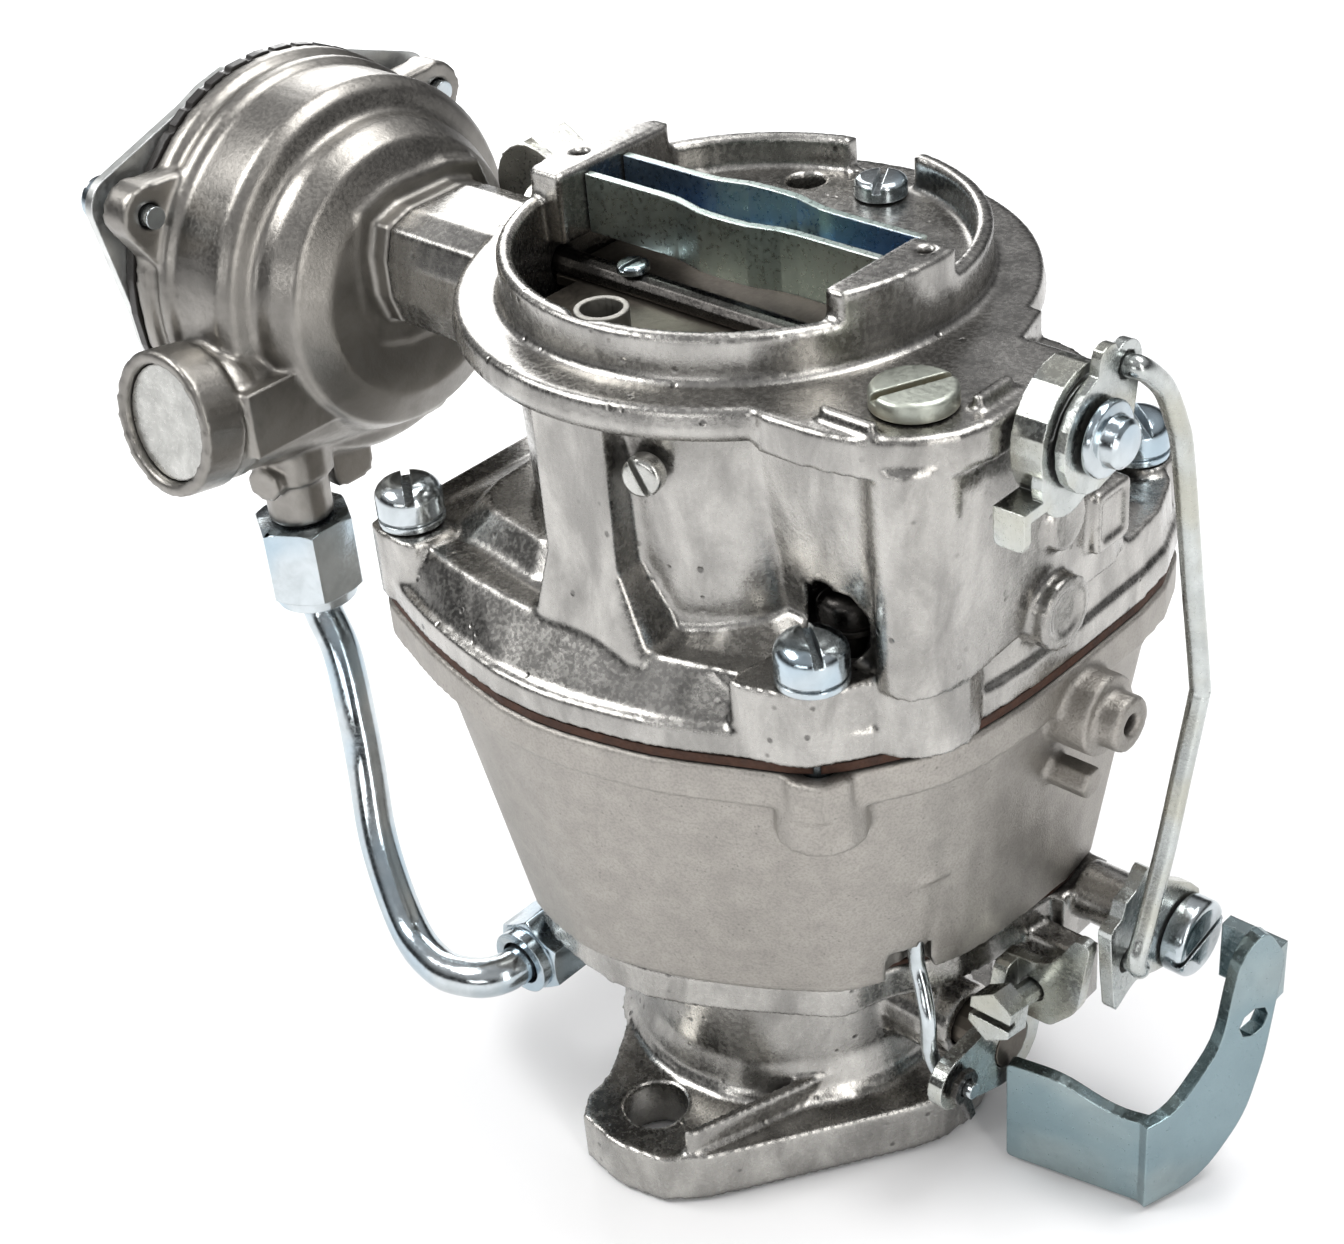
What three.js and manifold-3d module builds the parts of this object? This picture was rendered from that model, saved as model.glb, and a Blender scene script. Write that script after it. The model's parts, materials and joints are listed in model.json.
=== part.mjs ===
// Single-barrel downdraft carburettor: throttle body, float bowl and air horn, with an automatic choke.
// Millimetres, +Z up. The origin is the centre of the throttle bore on the underside of the mounting flange.
// +X runs along the throttle shaft to the lever side, and the automatic choke hangs at -X.
import * as THREE from "three";
import { mergeVertices } from "three/addons/utils/BufferGeometryUtils.js";
import Module from "manifold-3d";

const wasm = await Module();
wasm.setup();

// ---- Driving dimensions ----
const GAP = 0.3; // clearance between neighbouring pieces
const BORE_R = 19.85; // throttle bore
const FLANGE_T = 9; // mounting flange
const STUD_Y = 34.15; // mounting studs, on the Y axis
const STUD_HOLE_R = 5;
const BODY_TOP = 39.4; // throttle body
const BOWL_Z = [40.8, 88.3]; // float bowl, bottom and top
const LIP_Z = 82.4; // underside of the bowl's lip
const COVER_Z = [90.3, 101]; // cover flange of the air horn
const SEAT_Z = 102; // seats of the cover screws
const COVER_SCREWS = {
  front_left: [-40, -32], front_right: [33.7, -29.4], rear_right: [35.3, 43], rear_left: [-39, 41],
};
const WELL_SCREW = [30.2, -17.2]; // fifth cover screw, in the corner beside the throat
const DISC_R = 40.4; // air cleaner seat
const DISC_Z = [134, 139.4];
const RIM_R = 33.35; // locating rim
const RIM_TOP = 145.9;
const LUG_TOP = 149.7;
const THROAT_R = 31.1;
const CHORD_Y = 12.5; // flat rear side of the choke throat
const PLATFORM_Z = 141;
const VENTURI_R = 17;
const CHOKE_Y = -5; // choke shaft axis
const CHOKE_Z = 134.8;
const CHOKE_SHAFT_R = 2.3;
const SHAFT_Z = 22; // throttle shaft axis, at y = 0
const SHAFT_R = 4;
const PIVOT_Y = 22; // fast idle cam pivot
const PIVOT_Z = 37.3;
const PUMP = [35.2, -11.5]; // accelerator pump well, x and y
const PUMP_R = 4.2;
const PUMP_CUP_Z = [79, 83.6];
const HOUSING_Y = -8; // axis of the automatic choke
const HOUSING_Z = 124.7;
const PISTON_X = -75; // choke piston cylinder
const IDLE_HEAD = [46.6, -9.2, 35.4]; // idle stop screw, outer end of its head
const ROD_X = 62; // plane of the choke rod
const ROD_R = 1.5;
const HOOK = [0.6, 142]; // upper hook of the choke rod, y and z
const CAM_HOOK = [7.5, 41.7]; // lower hook
const TUBE_R = 3.2;
const NEEDLE = [-28, 21]; // fuel inlet needle, x and y
const INLET_Z = 130; // fuel inlet passage
const INLET_X = -53.5; // fuel inlet fitting, across the passage
const INLET_Y = 13;
const INLET_TOP_Z = 134.4;
const HINGE = [-33.5, 80]; // float hinge, x and z
const VALVE_SCREW_X = -16.5;
const VENT = [0.8, -28.4]; // bowl vent tube, x and y
const VENT_R = 3.6;
const VENT_TOP = 145.6;
const VALVE_Z = [CHOKE_Z - 2.1, CHOKE_Z - 0.6]; // choke plate, under the flat of its shaft

// ---- Finishes ----
const finish = (color, metalness, roughness) => ({ color, metalness, roughness });
const POLISHED = finish(0x9d9890, 0.9, 0.3);
const BEAD_BLASTED = finish(0x8c857d, 0.7, 0.6);
const SATIN = finish(0x79746c, 0.85, 0.4);
const ZINC = finish(0xc3cacd, 0.95, 0.25);
const TEAL_ZINC = finish(0x7a9196, 0.9, 0.3);
const YELLOW_ZINC = finish(0xb4b09e, 0.9, 0.35);
const BLACK_STEEL = finish(0x1d1c1c, 0.8, 0.5);
const GREY_STEEL = finish(0x5a5650, 0.8, 0.45);
const BRASS = finish(0xb08d4a, 0.95, 0.3);
const GASKET = finish(0x4a2b1a, 0, 0.9);
const BAKELITE = finish(0x1e1b19, 0, 0.5);
const ALLOY = finish(0xb9bab8, 0.9, 0.35);

// ---- Solids ----
const X_AXIS = [1, 0, 0];
const DEG = Math.PI / 180;

// A closed geometry as a manifold solid with its faces pointing out.
function solid(geometry) {
  const flat = geometry.index ? geometry.toNonIndexed() : geometry;
  const bare = new THREE.BufferGeometry().setAttribute("position", flat.getAttribute("position"));
  const merged = mergeVertices(bare, 1e-4);
  const faces = merged.index.array;
  const kept = [];
  for (let i = 0; i < faces.length; i += 3) {
    const [a, b, c] = [faces[i], faces[i + 1], faces[i + 2]];
    if (a !== b && b !== c && c !== a) kept.push(a, b, c);
  }
  const vertProperties = merged.attributes.position.array;
  const make = (list) => new wasm.Manifold(
    new wasm.Mesh({ numProp: 3, vertProperties, triVerts: new Uint32Array(list) }),
  );
  const made = make(kept);
  return made.volume() < 0 ? make(kept.reverse()) : made;
}

const join = (...solids) => solids.reduce((whole, next) => whole.add(next));
const cut = (whole, ...tools) => tools.reduce((left, tool) => left.subtract(tool), whole);

// The geometry with its +Z turned to a direction and its origin moved to a point.
function aimed(geometry, start, direction) {
  const turn = new THREE.Quaternion().setFromUnitVectors(
    new THREE.Vector3(0, 0, 1),
    new THREE.Vector3(...direction).normalize(),
  );
  return geometry.applyQuaternion(turn).translate(...start);
}

// A round bar, or a cone when the two radii differ.
function rod(radius, start, end, sides = 18, endRadius = radius) {
  const axis = new THREE.Vector3(...end).sub(new THREE.Vector3(...start));
  const bar = new THREE.CylinderGeometry(endRadius, radius, axis.length(), sides);
  bar.rotateX(Math.PI / 2).translate(0, 0, axis.length() / 2);
  return solid(aimed(bar, start, axis.toArray()));
}

// A turned piece: the profile is [radius, height] pairs from axis to axis.
function turned(profile, start, direction, sides = 20) {
  const points = profile.map(([r, h]) => new THREE.Vector2(r, h));
  return solid(aimed(new THREE.LatheGeometry(points, sides).rotateX(Math.PI / 2), start, direction));
}

function box(x, y, z) {
  const size = [x, y, z].map(([low, high]) => high - low);
  const middle = [x, y, z].map(([low, high]) => (low + high) / 2);
  return solid(new THREE.BoxGeometry(...size).translate(...middle));
}

// A closed outline through corners [u, v, setback]; a setback rounds its corner, by at most half a side.
function outline(corners) {
  const shape = new THREE.Shape();
  corners.forEach(([u, v, setback = 0], i) => {
    const corner = new THREE.Vector2(u, v);
    const toward = ([a, b]) => {
      const side = new THREE.Vector2(a, b).sub(corner);
      return side.setLength(Math.min(setback, 0.49 * side.length())).add(corner);
    };
    const enter = toward(corners.at(i - 1));
    const leave = toward(corners[(i + 1) % corners.length]);
    if (i === 0) shape.moveTo(enter.x, enter.y);
    else shape.lineTo(enter.x, enter.y);
    if (setback > 0) shape.quadraticCurveTo(u, v, leave.x, leave.y);
  });
  shape.closePath();
  return shape;
}

// The outline of a belt around two circles [u, v, radius].
function belt([u0, v0, r0], [u1, v1, r1]) {
  const along = Math.atan2(v1 - v0, u1 - u0);
  const wrap = Math.acos((r0 - r1) / Math.hypot(u1 - u0, v1 - v0));
  const shape = new THREE.Shape();
  shape.absarc(u0, v0, r0, along + wrap, along - wrap + 2 * Math.PI, false);
  shape.absarc(u1, v1, r1, along - wrap, along + wrap, false);
  shape.closePath();
  return shape;
}

// Turns an outline's plane: x keeps (y, z), y keeps (x, z) and z keeps (x, y).
const TO_AXIS = {
  x: new THREE.Matrix4().makeBasis(
    new THREE.Vector3(0, 1, 0), new THREE.Vector3(0, 0, 1), new THREE.Vector3(1, 0, 0),
  ),
  y: new THREE.Matrix4().makeBasis(
    new THREE.Vector3(1, 0, 0), new THREE.Vector3(0, 0, 1), new THREE.Vector3(0, -1, 0),
  ),
  z: new THREE.Matrix4(),
};

// An outline as a plate across an axis, from one place on that axis to another.
function plate(shape, axis, [from, to], curveSegments = 3) {
  const slab = new THREE.ExtrudeGeometry(shape, { depth: to - from, bevelEnabled: false, curveSegments });
  slab.translate(0, 0, axis === "y" ? -to : from);
  return solid(slab.applyMatrix4(TO_AXIS[axis]));
}

// A body that changes from one outline to another with the same corners, along Z.
function loft(lower, upper, [from, to], curveSegments = 2) {
  const slab = new THREE.ExtrudeGeometry(lower, { depth: to - from, bevelEnabled: false, curveSegments });
  const [low, high] = [lower.getPoints(curveSegments), upper.getPoints(curveSegments)];
  const place = slab.getAttribute("position");
  for (let i = 0; i < place.count; i++) {
    if (place.getZ(i) < (to - from) / 2) continue;
    const near = low.map((p) => Math.hypot(p.x - place.getX(i), p.y - place.getY(i)));
    const match = high[near.indexOf(Math.min(...near))];
    place.setXY(i, match.x, match.y);
  }
  return solid(slab.translate(0, 0, from));
}

// A round wire or tube along a smooth curve through points.
function tube(points, radius, steps, sides = 10, tension = 0.5) {
  const ring = new THREE.Shape();
  for (let i = 0; i <= sides; i++) {
    const angle = (2 * Math.PI * i) / sides;
    const [u, v] = [radius * Math.cos(angle), radius * Math.sin(angle)];
    if (i === 0) ring.moveTo(u, v);
    else if (i < sides) ring.lineTo(u, v);
    else ring.closePath();
  }
  const route = points.map((p) => new THREE.Vector3(...p));
  const extrudePath = new THREE.CatmullRomCurve3(route, false, "catmullrom", tension);
  return solid(new THREE.ExtrudeGeometry(ring, { steps, extrudePath, bevelEnabled: false }));
}

// Corners moved in by a margin toward a centre, for walls and stepped edges.
function inset(corners, margin, [cu, cv] = [0, 0]) {
  return corners.map(([u, v, setback]) => {
    const reach = Math.hypot(u - cu, v - cv);
    const share = (reach - margin) / reach;
    return [cu + (u - cu) * share, cv + (v - cv) * share, setback];
  });
}

// A screw's head with a slot, from its seat along a direction; the slot runs along Y of the aimed frame.
function slottedHead(
  radius, height, seat, direction, { crown = 0.8, slot = 1.3, depth = 1.3, spin = 0 } = {},
) {
  const profile = [
    [0, 0], [radius, 0], [radius, height - crown], [radius - crown * 1.3, height], [0, height],
  ];
  const head = new THREE.LatheGeometry(profile.map(([r, h]) => new THREE.Vector2(r, h)), 16).rotateX(
    Math.PI / 2,
  );
  const groove = new THREE.BoxGeometry(slot, radius * 2 + 1, depth * 2).translate(0, 0, height).rotateZ(
    spin,
  );
  return cut(solid(aimed(head, seat, direction)), solid(aimed(groove, seat, direction)));
}

function hexagon(acrossCorners, start, end) {
  return rod(acrossCorners / 2, start, end, 6);
}

// ---- The assembly ----
const carburetor = new THREE.Group();
carburetor.name = "carburetor";

// Adds a solid to the assembly as a named mesh with its finish.
function add(name, made, look) {
  const { numProp, vertProperties, triVerts, numVert } = made.getMesh();
  const places = new Float32Array(numVert * 3);
  for (let i = 0; i < numVert; i++) places.set(
    vertProperties.subarray(i * numProp, i * numProp + 3), i * 3,
  );
  const geometry = new THREE.BufferGeometry();
  geometry.setAttribute("position", new THREE.BufferAttribute(places, 3));
  geometry.setIndex(new THREE.BufferAttribute(new Uint32Array(triVerts), 1));
  geometry.computeVertexNormals();
  const mesh = new THREE.Mesh(geometry, new THREE.MeshStandardMaterial(look));
  mesh.name = name;
  carburetor.add(mesh);
}

// ---- Throttle body ----
const BODY_TOP_OUTLINE = [
  [-24, -33, 5], [-4.5, -37, 8], [8.5, -33, 8], [29, -20.5, 3], [30.5, -14, 3], [37.5, -4, 5],
  [41.5, 20, 5], [36, 36, 8], [-24, 40, 10], [-32, 6, 8], [-32, -10, 8],
];

function throttleBody() {
  const base = outline([
    [-9.8, -44.3, 9], [9.6, -44.3, 8], [35.6, -5.5, 5], [35.6, 5.5, 5], [9.6, 44.3, 8], [-9.8, 44.3, 9],
    [-10.4, 34, 3], [-24, 10, 8], [-24, -10, 8], [-10.4, -34, 3],
  ]);
  const skirt = turned(
    [[0, 8], [29, 8], [26.5, 11], [25.2, 16], [25, 36], [0, 36]], [0, 0, 0], [0, 0, 1], 24,
  );
  const topPlate = plate(outline(BODY_TOP_OUTLINE), "z", [33.4, BODY_TOP], 2);
  const rib = plate(outline([[10.6, -39.4], [12.2, -38.6], [22.6, -10], [20.5, -10]]), "z", [8, 13.5]);
  const shaftBoss = join(
    rod(7, [18, 0, SHAFT_Z], [32, 0, SHAFT_Z]),
    rod(6, [31, 0, SHAFT_Z], [36, 0, SHAFT_Z]),
    rod(7, [-18, 0, SHAFT_Z], [-33, 0, SHAFT_Z]),
  );
  const heatBoss = join(
    rod(7.2, [-26, -25.6, 26], [-26, -8, 26]),
    plate(outline([[-33, -22], [-19, -22], [-12, -8], [-12, 8], [-24, 4]]), "z", [19, 31]),
  );
  const pivotPost = join(
    box([22, 42.6], [15.5, 27.5], [29, BODY_TOP]),
    rod(4.8, [42.4, PIVOT_Y, PIVOT_Z], [56.4, PIVOT_Y, PIVOT_Z]),
  );
  const stopLug = box([26, 50], [9.6, 14], [26, 35.5]);
  const mixtureBoss = rod(6, [-12, 18, 20], [-12, 31, 20]);
  return cut(
    join(
      plate(base, "z", [0, FLANGE_T], 2), skirt, topPlate, rib, shaftBoss, heatBoss, pivotPost, stopLug,
      mixtureBoss,
    ),
    rod(BORE_R, [0, 0, -1], [0, 0, BODY_TOP + 1], 36),
    rod(STUD_HOLE_R, [0, -STUD_Y, -1], [0, -STUD_Y, 20]),
    rod(STUD_HOLE_R, [0, STUD_Y, -1], [0, STUD_Y, 20]),
    rod(SHAFT_R + GAP, [-40, 0, SHAFT_Z], [40, 0, SHAFT_Z]),
    rod(2, [50, PIVOT_Y, PIVOT_Z], [57, PIVOT_Y, PIVOT_Z], 8),
    rod(4.2, [-26, -27, 26], [-26, -16, 26]),
    rod(2.6, [-12, 15, 20], [-12, 32, 20], 8),
    rod(2.2, [-20, 31, 30], [-20, 31, 41], 6),
    rod(2.2, [30, 32, 30], [30, 32, 41], 6),
  );
}
add("throttle_body", throttleBody(), POLISHED);

function bodyGasket() {
  return cut(
    plate(outline(BODY_TOP_OUTLINE), "z", [BODY_TOP + GAP, BOWL_Z[0] - GAP], 2),
    rod(BORE_R + 1, [0, 0, 39], [0, 0, 42], 32),
  );
}
add("throttle_body_gasket", bodyGasket(), GASKET);

// ---- Float bowl ----
const BOWL_OUTLINE = [
  [-46.5, -35, 3], [-29, -41.6, 6], [-10, -45.8, 8], [1, -45, 5], [15, -41.6, 4], [36.3, -31.8, 4],
  [40.9, -25, 4], [46, -16.5, 5], [47.8, -5.5, 5], [48.4, 6, 6], [48, 34, 8], [40.4, 47.8, 6],
  [-8, 51.5, 10], [-44, 48.5, 6], [-47, 30, 8],
];
const BOWL_WAIST = [
  [-39.5, -33, 4], [-27, -39.8, 6], [-9, -43.4, 8], [0.5, -42.8, 5], [13.4, -39.4, 4], [33.4, -30.4, 4],
  [38.8, -24, 4], [43.8, -16.2, 5], [46.2, -5.5, 5], [46.2, 6, 6], [45.8, 33, 8], [38, 45.4, 6],
  [-8, 48.5, 10], [-38, 45, 6], [-41.5, 28, 8],
];
const BOWL_FOOT = [
  [-26, -31.5, 5], [-20, -36, 4], [-8, -38.6, 6], [-1, -37.6, 4], [9, -34.8, 4], [20, -29.4, 4],
  [30, -23, 3], [35, -15, 3], [39.6, -5.7, 5], [41, 6, 6], [41.8, 26, 8], [32, 40, 6], [-6, 43, 8],
  [-28, 38, 6], [-34, 14, 8],
];

function floatBowl() {
  const cavityFloor = BOWL_Z[0] + 4.4;
  const shell = join(
    loft(outline(BOWL_FOOT), outline(BOWL_WAIST), [BOWL_Z[0], LIP_Z], 2),
    plate(outline(BOWL_OUTLINE), "z", [LIP_Z, BOWL_Z[1]], 2),
    rod(6.6, [32.8, -28, 76.4], [32.8, -28, LIP_Z + 1], 14),
  );
  const cavity = join(
    loft(outline(inset(BOWL_FOOT, 4)), outline(inset(BOWL_WAIST, 3.6)), [cavityFloor, LIP_Z + 0.5], 1),
    plate(outline(inset(BOWL_WAIST, 3.6)), "z", [LIP_Z, BOWL_Z[1] + 1], 1),
  );
  const column = turned([[0, 42], [26, 42], [22.5, 50], [21.5, 86], [0, 86]], [0, 0, 0], [0, 0, 1], 20);
  const pumpWell = rod(PUMP_R + 1.6, [...PUMP, 61], [...PUMP, 86], 16);
  const screwPosts = Object.values(COVER_SCREWS).map(
    ([x, y]) => rod(5.6, [x, y, LIP_Z], [x, y, BOWL_Z[1]], 8),
  );
  const wellPost = rod(4.8, [...WELL_SCREW, 74], [...WELL_SCREW, BOWL_Z[1]], 8);
  const lined = join(cut(shell, cavity), column.intersect(shell), pumpWell, wellPost, ...screwPosts);
  const nippleBoss = join(
    rod(6.2, [40, 11, 80.6], [52.6, 11, 80.6]),
    rod(4.3, [52, 11, 80.6], [56.4, 11, 80.6], 14),
    rod(2.6, [42, 9.3, 69.3], [51.5, 9.3, 69.3], 6),
  );
  const venturi = turned(
    [[0, 30], [BORE_R, 30], [BORE_R, 48], [VENTURI_R, 68], [VENTURI_R, 76], [20, 90], [0, 90]], [0, 0, 0],
    [0, 0, 1], 28,
  );
  const tappings = Object.values(COVER_SCREWS).map(([x, y]) => rod(2.6, [x, y, 80], [x, y, 90], 8));
  return cut(
    join(lined, nippleBoss),
    venturi,
    ...tappings,
    rod(2.6, [...WELL_SCREW, 80], [...WELL_SCREW, 90], 8),
    rod(1.7, [50, 11, 80.6], [58, 11, 80.6], 8),
    rod(PUMP_R, [...PUMP, 63], [...PUMP, 90], 16),
    rod(2.5, [...PUMP, 40], [...PUMP, 64], 8),
    rod(3.6, [PUMP[0] + 0.6, PUMP[1] - 2.6, 40], [PUMP[0] + 0.6, PUMP[1] - 2.6, 47], 10),
  );
}
add("float_bowl", floatBowl(), BEAD_BLASTED);

function bowlGasket() {
  const sheet = plate(outline(inset(BOWL_OUTLINE, 0.5)), "z", [BOWL_Z[1] + GAP, COVER_Z[0] - GAP], 2);
  const window = plate(outline(inset(BOWL_WAIST, 5)), "z", [88, 91], 1);
  const island = rod(23, [0, 0, BOWL_Z[1] + GAP], [0, 0, COVER_Z[0] - GAP], 24);
  const spoke = box([-2, 47], [-21, -7], [BOWL_Z[1] + GAP, COVER_Z[0] - GAP]);
  const holes = [...Object.values(COVER_SCREWS), WELL_SCREW].map(
    ([x, y]) => rod(2.6, [x, y, 88], [x, y, 91], 8),
  );
  const tabs = Object.values(COVER_SCREWS).map(
    ([x, y]) => rod(6.4, [x, y, BOWL_Z[1] + GAP], [x, y, COVER_Z[0] - GAP], 8).intersect(sheet),
  );
  const pierced = join(cut(sheet, window), island.intersect(sheet), spoke.intersect(sheet), ...tabs);
  return cut(
    pierced, rod(20.4, [0, 0, 88], [0, 0, 91], 28),
    rod(PUMP_R, [...PUMP, 88], [...PUMP, 91], 14), ...holes,
  );
}
add("bowl_gasket", bowlGasket(), GASKET);

// ---- Air horn ----
const COVER_EDGE = BOWL_OUTLINE;
const COVER_CROWN = [
  [-45.5, -31, 3], [-31, -36, 6], [-14, -37.6, 8], [3, -38.4, 5], [15, -35.2, 4], [36, -30, 4],
  [40.6, -24.4, 4], [44.6, -16, 5], [46.6, -5.5, 5], [47.2, 6, 6], [46.8, 33.6, 8], [39.4, 46.4, 6],
  [-8, 47, 10], [-43, 46.5, 6], [-45.8, 29, 8],
];
const SHELF = [
  [26, -30.6, 3], [43, -29.4, 6], [52, -20.5, 5], [53, -12, 2], [52.2, 4.4, 2], [42.4, 4.4], [40, 12],
  [20, 12],
];
const PLUG = [42.2, -17.8];

function coverFlange() {
  const bead = plate(outline(COVER_EDGE), "z", [COVER_Z[0], 94.4], 2);
  const slope = loft(outline(inset(COVER_EDGE, 0.9)), outline(COVER_CROWN), [94, COVER_Z[1]], 2);
  const corner = ([x, y], ux, uy) => {
    const pad = [
      [x - 7.2 * ux, y - 2.5 * uy, 2], [x + 5.4 * ux, y - 4 * uy, 2.5], [x + 5.2 * ux, y + 5 * uy, 3],
      [x - 6 * ux, y + 6 * uy, 3],
    ];
    return plate(outline(pad), "z", [COVER_Z[0], SEAT_Z], 2);
  };
  return join(
    bead,
    slope,
    corner(COVER_SCREWS.front_left, -1, -1),
    plate(
      outline([[26, -26, 2], [41.2, -23, 3], [35.6, -33.4, 3], [24, -37, 3]]), "z", [COVER_Z[0], SEAT_Z], 2,
    ),
    corner(COVER_SCREWS.rear_right, 1, 1),
    corner(COVER_SCREWS.rear_left, -1, 1),
    loft(
      outline([[-37, -30, 6], [-8, -34.6, 6], [-4, -6, 4], [-39, 0, 6]]),
      outline([[-33, -26, 6], [-10, -30, 6], [-4, -6, 4], [-34, -2, 6]]), [100, 105.6], 2,
    ),
    rod(9, [39.6, -16, COVER_Z[0]], [39.6, -16, COVER_Z[1]], 16),
  );
}

// The throat with the air cleaner seat, its rim and the two lugs that carry the stud bridge.
function hornBarrel() {
  const barrel = turned(
    [
      [0, 98], [33, 98], [31.8, 104], [32.6, 128], [34, DISC_Z[0]], [DISC_R - 1, DISC_Z[0] + 0.6],
      [DISC_R, 136.4],
      [DISC_R - 0.6, DISC_Z[1]], [RIM_R + 0.6, DISC_Z[1]], [RIM_R, DISC_Z[1] + 0.7], [RIM_R, RIM_TOP],
      [0, RIM_TOP],
    ],
    [0, 0, 0], [0, 0, 1], 44,
  );
  const lugSide = (side) => {
    const reach = side > 0 ? [-15.4, 3] : [-8, 15];
    const block = box(side > 0 ? [26.6, 40] : [-40, -26.6], reach, [DISC_Z[1], LUG_TOP]);
    return block.intersect(rod(RIM_R, [0, 0, 130], [0, 0, 155], 44));
  };
  return { barrel, lugs: join(lugSide(1), lugSide(-1)) };
}

function rightBlock() {
  const crown = [
    [8, -25, 2], [40.6, -25, 2], [42, -27.4, 2], [47.4, -27.6, 4], [51, -20, 4], [51, -9, 3], [50, 12, 6],
    [20, 14, 4],
  ];
  const base = [
    [4, -20.6, 2], [39, -21.6, 2], [40.6, -25.4, 2], [46.4, -26, 4], [49, -20, 4], [49, -9, 3],
    [48.4, 24, 6], [20, 26, 4],
  ];
  const tower = loft(outline(base), outline(crown), [COVER_Z[1], DISC_Z[0] + 1], 2);
  const shelf = plate(outline(SHELF), "z", [DISC_Z[0], DISC_Z[1]], 2);
  const marks = join(
    box([35, 43.4], [-27.4, -25.9], [139, 141]), box([48.4, 49.9], [-14.6, -7.6], [139, 141]),
  );
  const sideBosses = join(
    rod(4.2, [47, 3, 115.5], [50.9, 3, 115.5], 14),
    plate(
      outline([[9.6, 106.5, 1], [17.6, 106.5, 1], [17.6, 115.8, 1], [9.6, 115.8, 1]]), "x", [47, 50.8], 2,
    ),
    rod(5.4, [44, 1.7, 102.3], [51.6, 1.7, 102.3], 16),
    rod(4.4, [44, CHOKE_Y, CHOKE_Z], [52.8, CHOKE_Y, CHOKE_Z - 0.6], 14),
  );
  return { body: join(tower, shelf, sideBosses), marks };
}

// The deck that rises from the cover's edge to the foot of the throat.
function deck() {
  const low = [
    [-43, -28, 3], [-30, -33, 6], [-14, -35.6, 8], [3, -36.4, 5], [15, -33.4, 4], [35, -27, 4],
    [39, -22, 4], [45, 6, 6], [45, 36, 8], [-40, 40, 6],
  ];
  const high = [
    [-30, -17, 3], [-22, -19, 6], [-13, -20, 8], [1, -20.4, 5], [12, -20.6, 4], [27, -21, 4],
    [34, -16, 4], [42, 6, 6], [40, 26, 8], [-30, 26, 6],
  ];
  return loft(outline(low), outline(high), [COVER_Z[1] - 0.5, 105.4], 2);
}

function frontStrut() {
  const blade = plate(
    outline([[-6.4, 104], [6.6, 104], [6.6, DISC_Z[0] + 1], [-6.4, DISC_Z[0] + 1]]), "y", [-36.5, -26],
  );
  const foot = loft(
    outline([[-10, -38.4, 3], [12, -38, 3], [12, -26, 3], [-10, -26, 3]]),
    outline([[-6.4, -36.5, 1], [6.6, -36.5, 1], [6.6, -26, 1], [-6.4, -26, 1]]), [COVER_Z[1] - 1, 112], 3,
  );
  return join(blade, foot);
}

function chokeNeck() {
  const section = [[-16.5, 121, 6], [6, 121, 6], [6, 139.2, 6], [-16.5, 139.2, 6]];
  const inletBoss = join(
    rod(8.4, [-41, INLET_Y, INLET_Z], [-24, INLET_Y, INLET_Z], 20),
    rod(8.4, [...NEEDLE, 98], [...NEEDLE, 132], 16),
  );
  return join(plate(outline(section), "x", [-56, -28], 2), inletBoss);
}

const hingeTab = (y) => box([HINGE[0] - 1.4, HINGE[0] + 2], y, [77.6, 100]);

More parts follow.
